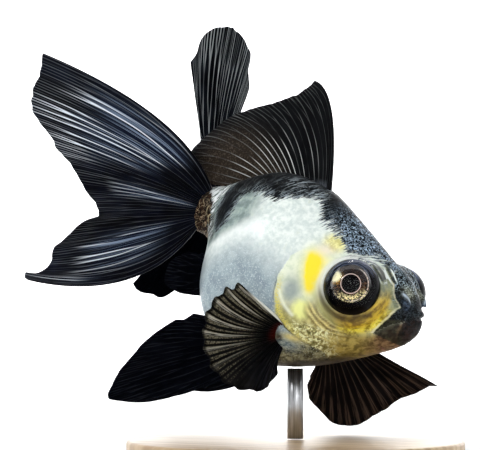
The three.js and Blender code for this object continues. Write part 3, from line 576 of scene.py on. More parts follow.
def coatFinish(name, scaly):
    g = Finish(name)
    mark, place = g.value, g.place()
    fine = g.noise(place, 0.35 * mm)
    mid = g.noise(place, 1.2 * mm)
    broad = g.noise(place, 4 * mm)
    veil = g.noise(place, 2.2 * mm, detail=4.0, rough=0.6)
    chips = g.noise(place, 0.9 * mm, detail=4.0, rough=0.65, distortion=0.8)
    run, lie = mark("along") + mark("around"), mark("lie")
    streak = g.noise(g.vector(run * 0.16, lie * 0.8), 0.75, detail=4.0, rough=0.62)
    hair = g.noise(g.vector(run * 0.22, lie * 2.6), 0.8, detail=3.0, rough=0.6)
    worms = 1 - abs(g.noise(place, 1.0 * mm, detail=1.5, rough=0.5, distortion=1.4) - 0.5).span(0.012, 0.05)
    net = 1 - abs(g.noise(place, 1.5 * mm, detail=1.5, rough=0.5, distortion=0.8) - 0.5).span(0.004, 0.026)
    blend, grit = veil * 0.5 + mid * 0.5, fine * 0.4 + mid * 0.6
    own = mark("own") if scaly else 0.0

    # the pearl coat: back, gill cover, cheek, rings under the eye and breast
    blue = (mark("blue") * (0.8 + 0.4 * broad)).least(1.0)
    yellow = mark("yellow") * (0.7 + 0.4 * veil + 0.2 * mid)
    gold = (mark("gold") * (0.75 + 0.5 * veil)).span(0.15, 0.9)
    glints = fine.span(0.55, 0.64) * veil.span(0.42, 0.6)
    gill = mark("gill")
    gillShade = gill.span(-0.55, -0.15) * gill.span(0.3, 0.0) * mark("lowGill")
    lowGold = g.mix(g.shade((150, 146, 78), (206, 204, 138), mid),
                    g.shade((140, 106, 26), (222, 186, 54), veil, 0.38, 0.6), mark("front"))
    skin = g.lay(
        g.shade((206, 218, 214), (236, 243, 238), mid, 0.3, 0.7),
        ((mark("mint") * (0.7 + 0.4 * broad)).least(1.0), (98, 118, 116), (150, 168, 162), veil, 0.35, 0.65),
        (blue, (136, 151, 160), (156, 172, 178), veil, 0.35, 0.65),
        # painted highlight: a near-white band along the flank, above the blue-grey
        (mark("flankHighlight") * 0.5, (246, 250, 248)),
        (fine.span(0.54, 0.66) * mark("blue") * 0.6, (218, 231, 233)),
        (veil.span(0.56, 0.7) * mid.span(0.42, 0.6) * (1 - blue) * 0.5, (188, 200, 186)),
        (mark("cheek"), (206, 218, 192), (232, 238, 216), veil, 0.38, 0.62),
        (mark("olive") * 0.9, (132, 122, 58), (188, 180, 108), veil * 0.8 + fine * 0.2, 0.36, 0.62),
        ((mark("greySpot") * 1.15).least(1.0) * 0.85, (126, 138, 142), (156, 168, 168), mid),
        (yellow.span(0.0, 0.92, kind="LINEAR"), (240, 236, 152), (252, 228, 52), yellow + (mid - 0.5) * 0.3, 0.2, 1.1),
        ((mark("patch") * (0.3 + 1.4 * veil)).span(0.1, 0.9) * 0.85, (204, 194, 98), (242, 236, 152), grit, 0.4, 0.6),
        # a pale lime patch on the cheek, brightest at its middle: pale skin with a painted glint
        ((mark("limeAndGlint") * (0.7 + 1.1 * mid)).span(0.1, 0.9) * 0.9, (242, 246, 156)),
        (mark("gillRim") * fine.span(0.36, 0.58) * 0.85, (222, 208, 96)),
        (mark("foldLine") * 0.8, (240, 244, 222)),
        (mark("blush") * 0.55, (242, 224, 212)),
        (mark("arcGold") * 0.8, (108, 84, 30), (178, 150, 70), blend, 0.4, 0.6),
        # painted shade: dark olive-brown lines in the creases between the folds under the eye
        ((mark("arcFoldShade") * veil.span(0.25, 0.55)).least(1.0) * 0.8, (78, 64, 24)),
        # pale lines on the folds under the eye: pale skin with a painted highlight on each fold
        ((mark("paleArcHighlight") * (0.5 + mid)).least(1.0) * 0.95, (248, 236, 160)),
        (gold, (140, 118, 26), (240, 222, 74), blend, 0.38, 0.56),
        (glints * (mark("olive") * 0.4 + gold).least(1.0) * 0.8, (246, 238, 150)),
        # olive-brown darkening towards the underside: the skin's own olive with painted shade beneath the body
        (mark("oliveUndersideShade") * 0.85, (70, 58, 32), (124, 108, 58), veil),
        # crinkled skin of the lower head: cream flecks are painted highlights, the dark olive ones painted shade
        # between them
        (chips.span(0.51, 0.58) * mark("flecksAndCrinkleLight") * 0.92, (240, 242, 192)),
        (chips.span(0.46, 0.38) * mark("flecksAndCrinkleLight") * 0.75, (70, 70, 34)),
        (mark("lowBrown") * 0.85, (100, 84, 34), (178, 156, 78), blend, 0.38, 0.62),
        (gillShade * (0.3 + 1.1 * veil), (42, 34, 16)),
        (mark("brown"), (74, 54, 38), (138, 108, 76), mid, 0.35, 0.65),
        (mark("brown") * veil.span(0.54, 0.68) * 0.5, (168, 120, 106)),
        (mark("breast") * 0.92, (50, 48, 32), (146, 144, 110), blend, 0.4, 0.6),
        (mark("breastBlue") * 0.65, (104, 130, 146), (176, 196, 204), mid, 0.35, 0.65),
        ((mark("breastGold") * (0.3 + 1.2 * veil)).least(1.0) * 0.9, (244, 226, 140)),
        (fine.span(0.57, 0.65) * mark("breast") * 0.45, (222, 226, 206)),
        (mark("keel") * 0.92, (10, 8, 5), (46, 38, 25), mid, 0.38, 0.62),
        # painted shade: grey darkening along the lower rear edge of the body
        (mark("rearEdgeShade") * 0.7, (112, 122, 128)),
        (mark("red").span(0.2, 0.8), (10, 5, 5), (66, 18, 14), veil, 0.4, 0.6),
        (mark("socket") * 0.9, (214, 220, 212), (244, 247, 242), mid),
        (mark("ringCream") * 0.6, (208, 200, 150)),
        (mark("greyFront") * 0.88, (96, 104, 78), (150, 154, 116), veil * 0.6 + fine * 0.4, 0.38, 0.62),
        (mark("lowRing") * 0.85, lowGold),
        # painted shadow: a dark brown band under the eye's rim
        (mark("eyeRingShadow") * 0.8, (52, 38, 18)),
    )

    # the black: saddle, snout and root of the tail
    speck = worms * (0.55 + 0.45 * mid.span(0.38, 0.52))
    edgeAt = mark("saddle") + (streak - 0.5) * 7.5 + (hair - 0.5) * 4.0 + own * 0.2
    saddle = edgeAt.span(-0.3, 0.5)
    nearEdge = mark("saddle").span(3.4, 0.4)
    ink = g.lay(
        g.shade((4, 5, 8), (15, 18, 25), streak, 0.45, 0.8),
        (speck * mark("crown") * 0.95, (188, 214, 238)),
        (hair.span(0.535, 0.6) * (0.06 + 0.76 * nearEdge) * (1 - mark("crown") * 0.85), (170, 184, 192)),
        (streak.span(0.5, 0.57) * hair.span(0.42, 0.52) * mark("nape") * 0.9, (196, 208, 216)),
    )
    snoutEdge = mark("snoutDark") + (mid - 0.5) * 0.9
    snout = snoutEdge.span(-0.2, 0.25)
    snoutInk = g.lay(
        g.shade((4, 5, 7), (162, 184, 196), speck * (0.12 + 0.88 * mark("crown"))),
        (mark("lobe") * 0.95, (12, 18, 30), (88, 106, 130), veil * 0.5 + fine * 0.5, 0.42, 0.62),
        (mark("brown") * 0.8, (9, 7, 7), (46, 31, 26), blend, 0.42, 0.6),
    )
    border = snoutEdge.span(-0.72, -0.4) * snoutEdge.span(0.02, -0.18)
    away = abs((mark("crease") * 1.02 - 23.53).fract() - 0.5)  # 0.5 on a fold's bright edge
    foldShadeAndHighlight = mark("foldShadeAndHighlight").span(0.15, 0.6)
    rootInk = g.lay(g.shade((10, 7, 6), (58, 38, 24), grit, 0.42, 0.66), (net * (0.2 + mid) * 0.85, (182, 160, 130)))
    rootMask = (mark("rootDark") + (streak - 0.5) * 4.0 + own * 0.5).span(-0.4, 0.6)
    rear, high = mark("rearPatch"), mark("highRear")
    skin = g.lay(
        skin,
        (saddle, ink),
        (rear * 0.92, (12, 13, 16), (136, 146, 142), hair + 0.06 * high, 0.47, 0.57),
        (rear * (streak + 0.07 * high).span(0.53, 0.59) * 0.85, (238, 243, 244)),
        (snout, snoutInk),
        (mark("fold") * 0.92, (9, 10, 8), (54, 54, 40), veil, 0.4, 0.62),
        ((border * mark("pale") * (2.6 * veil - 0.55)).span(0.0, 1.0, kind="LINEAR"), (228, 224, 192)),
        # painted shade in each fold of skin before the right eye, and a painted highlight on its edge
        (away.span(0.26, 0.14) * foldShadeAndHighlight * 0.9, (54, 58, 54)),
        (away.span(0.33, 0.42) * foldShadeAndHighlight, (232, 240, 236)),
        # painted highlight along the upper edge of the nose flap
        (mark("flapEdgeHighlight") * (0.4 + fine) * 0.9, (204, 220, 236)),
        # painted highlight: a pale speckled patch on the front of the snout
        ((worms * 0.8 + 0.2) * mark("snoutHighlight"), (220, 222, 190)),
        (rootMask, rootInk),
    )
    height = grit
    if scaly:
        edge = mark("edge")  # 0 at the root of a scale, 1 at its free margin
        rim = edge.span(0.84, 0.98) * veil.span(0.4, 0.55)
        skin = g.lay(
            skin,
            (rim * (1 - rootMask) * 0.06, (244, 248, 244)),
            (rim * rootMask * own.span(0.0, 0.7) * 0.7, (206, 188, 146)),
            (rim * saddle * (1 - rootMask) * edgeAt.span(3.0, 0.4) * 0.22, (168, 184, 192)),
        )
        furrow = (mark("fan") * 9 + veil * 2).fract().span(0.0, 0.5, kind="LINEAR")
        height = grit * 0.6 + furrow * edge * 0.35
    wet = 0.2 * (1 - saddle.most(snout).most(rootMask).most(mark("keel")))
    return g.surface(Base_Color=skin, Roughness=0.34 + fine * 0.14, Normal=g.bump(height, 0.35, 0.00008), IOR=1.4,
                     Specular_IOR_Level=0.12, Coat_Weight=wet, Coat_Roughness=0.18)


skinPoints, skinFaces = buildSkin()
skinNormals = meshNormals(skinPoints, skinFaces)
skinPoints = skinPoints + sculpt(skinPoints)[:, None] * skinNormals
skin = addMesh("skin", skinPoints, skinFaces, markings(skinPoints))
skin.data.materials.append(coatFinish("wetSkin", False))
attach(skin, "root")
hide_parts("head", "trunk", "tail_root", "gill_cover_right", "gill_cover_left", "lower_jaw",
            "nose_flap_right", "nose_flap_left")
print("skin", len(skinPoints))

scaleRows = {
    "front": 11.5, "back": -31.5, "lap": 2.1, "grid": 8, "lift": 0.03, "rootLift": 0.14, "dome": 0.025, "thick": 0.05,
    "pitch": ([-31, -24, -18, 0, 12], [1.1, 1.2, 1.55, 1.75, 1.6]),  # x, and the step to the next row there
    "around": ((-17, 36), (-22.5, 26), (-99, 18)),  # scales in a ring forward of each x
    "halfWidth": 0.62, "first": 9.5, "gillTop": 11, "proudAt": (-22.5, -19), "backProud": 0.03, "sharp": 50,
    "uneven": {"width": 0.04, "length": 0.05, "lift": 0.01},
}


def stationAtX(x):
    t = np.linspace(0, lastStation, 800)
    return np.interp(-x, -through(stations["x"], t, stations["x"][1]), t)


# One leaf per scale: a curved plate whose root sinks into the skin and whose rear margin stands a little proud.
def buildScales(side):
    n, uneven = scaleRows["grid"], scaleRows["uneven"]
    a, b = np.meshgrid(np.linspace(-1, 1, n), np.linspace(0, 1, n), indexing="ij")
    k = np.arange(n)
    rim = np.concatenate([k * n, (n - 1) * n + k[1:], k[-2::-1] * n + n - 1, k[-2:0:-1]])
    nextRim = np.roll(rim, -1)
    top = gridFaces(n, n)
    points, faces, edge, fan, own, spots = [], [], [], [], [], []
    x, row = scaleRows["front"], 0
    while x > scaleRows["back"]:
        pitch = float(np.interp(x, *scaleRows["pitch"]))
        around = next(count for start, count in scaleRows["around"] if x > start)
        t = float(stationAtX(x))
        for column in range(around):
            turn = (column + 0.5 * (row % 2)) / around
            centre = bodyPoint(t, np.array(turn))
            jitter = chance.uniform(-1, 1, 4)
            ahead, _ = gillSide(folded(centre[None]))
            onGill = ahead[0] > -0.6 and centre[2] < scaleRows["gillTop"]
            if centre[1] * side < -0.02 or centre[0] > scaleRows["first"] or onGill:
                continue
            half = scaleRows["halfWidth"] / around * (1 + uneven["width"] * jitter[0])
            outline = np.sqrt(np.clip(1 - 0.55 * np.abs(a) ** 2.2, 0, 1))
            back = b * outline * pitch * scaleRows["lap"] * (1 + uneven["length"] * jitter[1])
            tt = stationAtX(x + 0.55 * pitch - back)
            uu = turn + a * half * (1 - 0.25 * (1 - b) ** 2)
            forward = float(smooth(*scaleRows["proudAt"], centre[0]))
            proud = lerp(scaleRows["rootLift"], scaleRows["lift"], forward) + scaleRows["backProud"] * (centre[2] > 15)
            lift = lerp(-0.1, proud, b) - scaleRows["dome"] * a ** 2 + uneven["lift"] * jitter[2] * b
            normal = bodyNormal(tt, uu)
            upper = bodyPoint(tt, uu) + (lift - body["coatDepth"])[..., None] * normal
            lower = upper - scaleRows["thick"] * normal
            start = len(points) * 2 * n * n
            points.append(np.concatenate([upper.reshape(-1, 3), lower.reshape(-1, 3)]))
            faces += [top + start, top[:, ::-1] + start + n * n,
                      np.stack([nextRim, rim, rim + n * n, nextRim + n * n], -1) + start]
            edge.append(np.tile(b.ravel(), 2))
            fan.append(np.tile(a.ravel(), 2))
            own.append(np.full(2 * n * n, jitter[3]))
            patch = np.stack([turn % 1 + 0.0015 * a, t / lastStation + 0.003 * (b - 0.5)], -1)
            spots.append(np.tile(patch.reshape(-1, 2), (2, 1)))
        x -= pitch
        row += 1
    points = np.concatenate(points)
    values = {**markings(points), "edge": np.concatenate(edge), "fan": np.concatenate(fan),
              "own": np.concatenate(own)}
    piece = addMesh("scales_left" if side > 0 else "scales_right", points, np.concatenate(faces), values)
    piece.data.set_sharp_from_angle(angle=math.radians(scaleRows["sharp"]))
    bakeMap = piece.data.uv_layers.new(name="OFBake")
    corner = np.zeros(len(piece.data.loops), np.int32)
    piece.data.loops.foreach_get("vertex_index", corner)
    bakeMap.data.foreach_set("uv", np.clip(np.concatenate(spots), 0.001, 0.999)[corner].astype(np.float32).ravel())
    return piece


scaleFinish = coatFinish("wetScales", True)
for side in (1, -1):
    scales = buildScales(side)
    scales.data.materials.append(scaleFinish)
    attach(scales, "root")
    print(scales.name, len(scales.data.polygons) * 2, "triangles")

# Fins. bend: how far out a ray bends; ripple: depth, number of folds and where they start; keys: root, tip and bow of
# key rays from first to last; paleStreakAndHighlight: a pale streak's place across the fin at five steps out, half
# width, where it starts and ends, and strength; each streak is the rays' pale colour with a painted highlight.
finForm = {"rootThick": 1.1, "marginThick": 0.16, "notch": 0.004, "scallop": 0.02, "fringe": 0.008, "columns": 14,
           "forks": (0.36, 0.68), "forkApart": (0.25, 0.12), "rayWidth": (0.2, 0.075), "wave": 0.16, "leadRay": 0.14}
fins = {
    "dorsal_fin": {
        "bend": [0.86, 0.66, 0.64, 0.64, 0.64, 0.64, 0.6], "ripple": (0.4, 3.2, 0.1), "rays": 21, "steps": 72,
        "ridge": 0.15, "forks": (0.6, 0.88), "finish": "dorsal",
        "paleStreakAndHighlight": [
            ([0.47, 0.47, 0.47, 0.45, 0.42], 0.2, -0.2, 0.66, 0.5), ([0.62] * 5, 0.3, -0.2, 0.5, 0.7),
            ([0.45] * 5, 0.4, 0.3, 1.2, 0.05),
        ],
        "keys": [
            ([4.4, 0, 22.2], [-7.4, -0.5, 48.3], [3.3, 0, 1.9]), ([2.2, 0, 22.8], [-9.8, -1, 44.3], [2.8, 0, 0.8]),
            ([-2.2, 0, 23.2], [-17.1, -1, 40.3], [2.6, 0, 1.2]), ([-6.6, 0, 23.4], [-25.2, -1, 35.9], [2.2, 0, 1.6]),
            ([-11, 0, 22.8], [-31.8, -1.5, 30.8], [1.8, 0, 1.8]),
            ([-15.4, 0, 21.4], [-35.7, -2.5, 22.8], [1.2, 0, 1.4]),
            ([-20.6, 0, 18.0], [-34.4, -2, 17.0], [0.2, 0, -0.9]),
        ]},
    "tail_fin_right": {
        "bend": [0.26, 0.28, 0.3, 0.3, 0.31, 0.33, 0.36, 0.38, 0.4, 0.4, 0.4, 0.4, 0.4, 0.4],
        "ripple": (0.8, 6.2, 0.2), "rays": 27, "steps": 96, "ridge": 0.2, "finish": "tail",
        "replaces": ("tail_fin_upper_right", "tail_fin_lower_right"),
        "paleStreakAndHighlight": [
            ([0.05, 0.06, 0.063, 0.066, 0.09], 0.03, 0.15, 0.95, 1.0),
            ([0.05, 0.08, 0.11, 0.145, 0.16], 0.035, 0.35, 1.3, 0.9),
            ([0.06, 0.09, 0.13, 0.175, 0.21], 0.03, 0.2, 1.3, 0.8),
            ([0.1, 0.14, 0.18, 0.225, 0.285], 0.03, 0.25, 1.3, 0.8),
            ([0.18, 0.2, 0.24, 0.275, 0.33], 0.03, 0.3, 1.2, 0.6),
            ([0.46, 0.452, 0.447, 0.447, 0.465], 0.03, 0.0, 0.85, 0.8),
            ([0.775, 0.774, 0.79, 0.8, 0.81], 0.04, 0.15, 0.9, 1.0),
            ([0.84, 0.86, 0.86, 0.86, 0.86], 0.035, 0.2, 0.9, 0.5), ([0.943] * 5, 0.02, 0.6, 1.15, 0.8),
        ],
        "keys": [
            ([-28.4, -1.4, 15.6], [-62.5, -38, 39.8], [2.3, -2, 5.6]),
            ([-29.4, -1.5, 14.2], [-62.7, -38, 34.0], [1.4, -2, 4.1]),
            ([-30.1, -1.5, 13.1], [-62.6, -38, 28.6], [0.4, -2, 2.8]),
            ([-30.3, -1.6, 12.3], [-59.9, -36.5, 22.9], [-0.2, -2, 1.8]),
            ([-30.5, -1.6, 11.6], [-55.7, -34.5, 18.4], [-0.6, -1.8, 1.1]),
            ([-30.6, -1.6, 10.9], [-51.1, -31.5, 14.1], [-0.8, -1.5, 0.8]),
            ([-30.6, -1.6, 10.1], [-48.0, -28, 9.2], [-0.9, -1.2, 0.6]),
            ([-30.6, -1.6, 9.3], [-46.1, -24.6, 5.3], [-1, -1, 0.3]),
            ([-30.6, -1.6, 8.7], [-46.8, -23, 2.5], [-1, -1, 0.2]),
            ([-30.5, -1.6, 8.0], [-52.7, -22.6, -2.4], [-1, -1, -0.4]),
            ([-30.4, -1.6, 7.2], [-57.4, -22.3, -7.8], [-0.8, -1, -1.2]),
            ([-30.2, -1.5, 6.3], [-58.3, -21.5, -13.2], [0, -0.6, -3]),
            ([-30, -1.4, 5.6], [-65.5, -21, -16.3], [2.2, 0.4, -5.8]),
            ([-29.8, -1.4, 5], [-65.3, -21, -18.4], [3.4, 0.6, -6.9]),
        ]},
    "tail_fin_left": {
        "bend": 0.4, "ripple": (0.7, 6.0, 0.55), "rays": 27, "steps": 84, "ridge": 0.2, "finish": "tailFar",
        "replaces": ("tail_fin_upper_left", "tail_fin_lower_left"),
        "keys": [
            ([-29.6, 1.4, 14.4], [-62.9, 30, 45], [-0.2, -2, 1.6]),
            ([-30, 1.5, 13.6], [-63.6, 34.5, 52.2], [-1.3, -1.6, 1.6]),
            ([-30.3, 1.6, 12.6], [-60.2, 41, 56.7], [-1.4, 0, 1.6]),
            ([-30.5, 1.6, 12.0], [-57.6, 44.2, 55.2], [-1.2, 1, 1.2]),
            ([-30.6, 1.6, 11.4], [-53.9, 46.9, 49.6], [-1, 1.6, 1]),
            ([-30.6, 1.6, 10.8], [-53.2, 46.8, 42.6], [-1, 1.8, 0.8]),
            ([-30.6, 1.6, 10.3], [-53.4, 46.2, 37.6], [-1, 1.8, 0.7]),
            ([-30.6, 1.6, 9.8], [-51.8, 45, 30], [-1, 1.8, 0.6]), ([-30.6, 1.6, 9], [-49.5, 41, 19], [-1, 1, 0.4]),
            ([-30.5, 1.6, 8], [-45, 34, -1], [-1, 1, -0.6]), ([-30.4, 1.5, 6.8], [-52.1, 28, -18.8], [-1, 1, -0.6]),
            ([-30.1, 1.45, 6.0], [-56.8, 25, -19.2], [-1.1, 0.5, 0.2]),
            ([-29.8, 1.4, 5.2], [-60.3, 22, -18.0], [-1.2, 0, 0.9]),
        ]},
    "pectoral_fin_right": {
        "bend": 0.5, "ripple": (0.5, 11, 0), "rays": 33, "steps": 72, "ridge": 0.22, "finish": "pectoral",
        "lobed": 0.022,
        "keys": [
            ([8.2, -13.8, -10.8], [2.2, -30, -2.2], [-0.5, 0.5, 0.1]),
            ([7.5, -13.8, -11.6], [-1.6, -31, -4.8], [-1.2, 0, -1.1]),
            ([6.9, -13.7, -12.4], [-4.5, -30.8, -11], [-1.2, -0.4, -1.4]),
            ([6.5, -13.4, -13.2], [-4.6, -29.8, -17.7], [-0.6, -1, -0.9]),
            ([6.2, -13.1, -14], [-1, -28.6, -23.7], [-0.6, -1, -0.3]),
            ([6.2, -12.8, -14.8], [4.2, -25.8, -27.1], [0, -1, 0]),
            ([6.6, -12.2, -15.7], [9.1, -20.5, -26.6], [0.2, -1, 0]),
            ([7.2, -11.8, -16.4], [9.5, -14.8, -22.6], [-0.4, -0.5, 0]),
        ]},
    "pectoral_fin_left": {
        "bend": 0.5, "ripple": (0.4, 6, 0.4), "rays": 18, "steps": 56, "ridge": 0.28, "finish": "pectoralFar",
        "keys": [
            ([8.6, 13.6, -12.2], [31.6, 30, -20.3], [0, 0, -0.3]), ([8, 13.6, -13], [22.8, 31, -25.9], [0, 1, 0]),
            ([7.2, 13.4, -13.8], [15.8, 29.5, -34.0], [0, 1, 0]), ([6.4, 13, -14.8], [8.4, 26, -37.6], [0, 1, 0]),
            ([6.2, 12.4, -15.6], [1.3, 21, -32.2], [0, 1, 0]), ([6.6, 11.8, -16.4], [2, 16.5, -26], [0, 0.6, 0]),
        ]},
    "pelvic_fin_right": {
        "bend": 0.5, "ripple": (0.5, 3, 0.3), "rays": 11, "steps": 60, "ridge": 0.16, "finish": "lower",
        "keys": [
            ([-1, -5.6, -21], [-14, -12, -33], [1, -1, -1.6]),
            ([-3, -5.4, -21], [-23.5, -15, -38.8], [0.6, -1, -1.4]),
            ([-5, -5.2, -20.6], [-34.3, -16, -41.4], [0, -1, -0.6]),
            ([-7, -4.8, -20], [-34.8, -16, -36.5], [0, -1, 0.1]),
            ([-8.4, -4.4, -19.6], [-32.4, -15.2, -30.5], [0, 0, 0.4]),
            ([-9.8, -4.1, -19.1], [-28.9, -13.4, -23.6], [0, 0, 0.9]),
            ([-11.2, -3.8, -18.5], [-24.4, -10.6, -18.0], [0, 0, 1]),
        ]},
    "pelvic_fin_left": {
        "bend": 0.5, "ripple": (0.5, 3, 0.8), "rays": 11, "steps": 60, "ridge": 0.16, "finish": "lower",
        "keys": [
            ([-1, 5.6, -21], [-19, 16, -32.5], [1, 1, -2]), ([-3, 5.4, -21], [-27.5, 17, -38.5], [0.6, 1, -2]),
            ([-5, 5.2, -20.6], [-37, 16, -40], [0, 1, -1]), ([-7, 4.8, -20], [-42, 14, -34], [0, 1, -1]),
            ([-9, 4.2, -19.4], [-39.5, 11, -26], [0, 0, -0.4]), ([-11, 3.8, -18.4], [-31.7, 9, -18.4], [0, 0, 0.8]),
        ]},
    "anal_fin_right": {
        "bend": 0.5, "ripple": (0.3, 2.5, 0.1), "rays": 8, "steps": 40, "ridge": 0.12, "finish": "lower",
        "keys": [
            ([-19.2, -2.6, -12.8], [-22, -5, -8], [0, 0, -0.2]),
            ([-20.2, -2.6, -10.6], [-24, -6, -10.5], [0, 0, -0.6]),
            ([-21, -2.5, -8.2], [-29, -6.5, -12], [0, 0, -0.8]),
            ([-21.8, -2.3, -5.8], [-33, -6.5, -10], [0, 0, -0.8]),
            ([-22.4, -2.2, -3.6], [-33.2, -5, -5], [0, 0, -0.4]), ([-23, -2.1, -1.6], [-30, -3.5, -1.5], [0, 0, 0]),
        ]},
}
fins["anal_fin_left"] = {**fins["anal_fin_right"], "ripple": (0.3, 2.5, 0.6),
                         "keys": [tuple(np.array(p) * mirror for p in key) for key in fins["anal_fin_right"]["keys"]]}


def sheetNormal(sheet):
    return unit(np.cross(np.gradient(sheet, axis=1), np.gradient(sheet, axis=0)))


def buildFin(name, fin):
    rays, columns = fin["rays"], fin["rays"] * finForm["columns"] + 1
    u, v = np.meshgrid(np.linspace(0, 1, columns), np.linspace(0, 1, fin["steps"]))
    ray = np.clip(np.floor(u * rays), 0, rays - 1).astype(int)
    local = u * rays - ray - 0.5
    own = chance.uniform(-1, 1, (4, rays))
    # each ray forks once and then again on its way out
    firstFork, secondFork = fin.get("forks", finForm["forks"])
    firstFork, secondFork = firstFork + 0.08 * own[0][ray], secondFork + 0.06 * own[1][ray]
    apart = finForm["forkApart"][0] * smooth(firstFork, firstFork + 0.3, v)
    apartAgain = finForm["forkApart"][1] * smooth(secondFork, secondFork + 0.22, v)
    width = lerp(*finForm["rayWidth"], smooth(0.1, 0.9, v))
    if fin["finish"].startswith("pectoral"):  # rays that fork once and stay broad
        apart, apartAgain, width = 0.16 * smooth(0.55, 1, v), 0 * v, 0.3 - 0.06 * v
    raised = hump(np.abs(np.abs(np.abs(local) - apart) - apartAgain), 0, width)
    ragged = wander(np.stack([u * rays * 0.35, 0 * u + rays, 0 * u], -1), 1.0)
    fringe = wander(np.stack([u * rays * 1.3, 0 * u + rays, 0 * u + 9], -1), 1.0)
    depth, folds, phase = fin["ripple"]
    fold = np.sin(2 * math.pi * (folds * u + phase))
    margin = (finForm["scallop"] * (ragged + 0.3) + finForm["fringe"] * (fringe - 0.5)
              - finForm["notch"] * np.abs(2 * local) ** 2 - fin.get("lobed", 0) * (0.5 - 0.5 * fold))
    reach = v * (1 + margin * smooth(0.4, 1, v))
    roots, tips, bows = (np.array([key[k] for key in fin["keys"]], float) for k in range(3))
    t = u * (len(roots) - 1)
    root, tip, bow = through(roots, t), through(tips, t), through(bows, t)
    bend = through(fin["bend"], t)[..., None] if isinstance(fin["bend"], list) else fin["bend"]
    control = lerp(root, tip, bend) + 2 * bow
    r = reach[..., None]
    sheet = (1 - r) ** 2 * root + 2 * r * (1 - r) * control + r ** 2 * tip
    wave = depth * reach ** 1.6 * fold
    wave = wave + finForm["wave"] * reach ** 2 * wander(np.stack([u * rays * 0.8, v * 5, 0 * v], -1), 1.0)
    sheet = sheet + wave[..., None] * sheetNormal(sheet)
    normal = sheetNormal(sheet)
    half = 0.5 * lerp(finForm["rootThick"], finForm["marginThick"], np.minimum(1, 1.7 * reach))
    lead = hump(u * rays, 0, 0.45)
    paleStreakAndHighlight = 0 * u
    # each streak: the rays' pale colour with a painted highlight along it
    for course, wide, first, last, strength in fin.get("paleStreakAndHighlight", ()):
        centre = np.interp(reach, np.linspace(0, 1, 5), course)
        paleStreakAndHighlight += (strength * hump(u, centre, wide) * smooth(first, first + 0.2, reach)
                   * smooth(last, last - 0.25, reach))
    half = half + fin["ridge"] * raised * (1 - 0.72 * reach) * smooth(0, 0.08, reach)
    half = (half + finForm["leadRay"] * lead * (1 - reach)) * (1 - 0.75 * smooth(0.94, 1.0, v))
    front, behind = sheet + half[..., None] * normal, sheet - half[..., None] * normal
    points = np.concatenate([front, behind[:, ::-1]], 1)
    faces = gridFaces(fin["steps"], 2 * columns, wrap=True)
    k = np.arange(columns - 1)
    cap = np.stack([k, k + 1, 2 * columns - 2 - k, 2 * columns - 1 - k], -1)
    faces = np.concatenate([faces, cap[:, ::-1], cap + (fin["steps"] - 1) * 2 * columns])
    values = {"ray": raised, "reach": reach, "across": u * rays, "lead": lead, "own": own[3][ray] * 0.5 + 0.5,
              "side": u, "paleStreakAndHighlight": paleStreakAndHighlight, "fold": 0.5 + 0.5 * fold}
    values = {key: np.concatenate([value, value[:, ::-1]], 1).ravel() for key, value in values.items()}
    return addMesh(name + "_skin", points.reshape(-1, 3), faces, values)


finTones = {
    "tail": {"dark": (4, 5, 10), "sheen": (11, 15, 29), "line": (228, 236, 246), "faint": 0.09},
    "tailFar": {"dark": (5, 6, 9), "sheen": (20, 23, 28), "line": (178, 184, 186), "faint": 0.7, "wet": 0.0},
    "dorsal": {"dark": (5, 6, 8), "sheen": (13, 15, 17), "line": (206, 210, 208), "faint": 0.06},
    "pectoral": {"dark": (3, 4, 5), "sheen": (13, 12, 11), "line": (196, 192, 176), "faint": 0.08},
    "pectoralFar": {"dark": (6, 6, 8), "sheen": (18, 14, 16), "line": (96, 80, 70), "faint": 0.5},
    "lower": {"dark": (3, 4, 7), "sheen": (7, 9, 14), "line": (66, 68, 76), "faint": 0.18, "wet": 0.0},
}


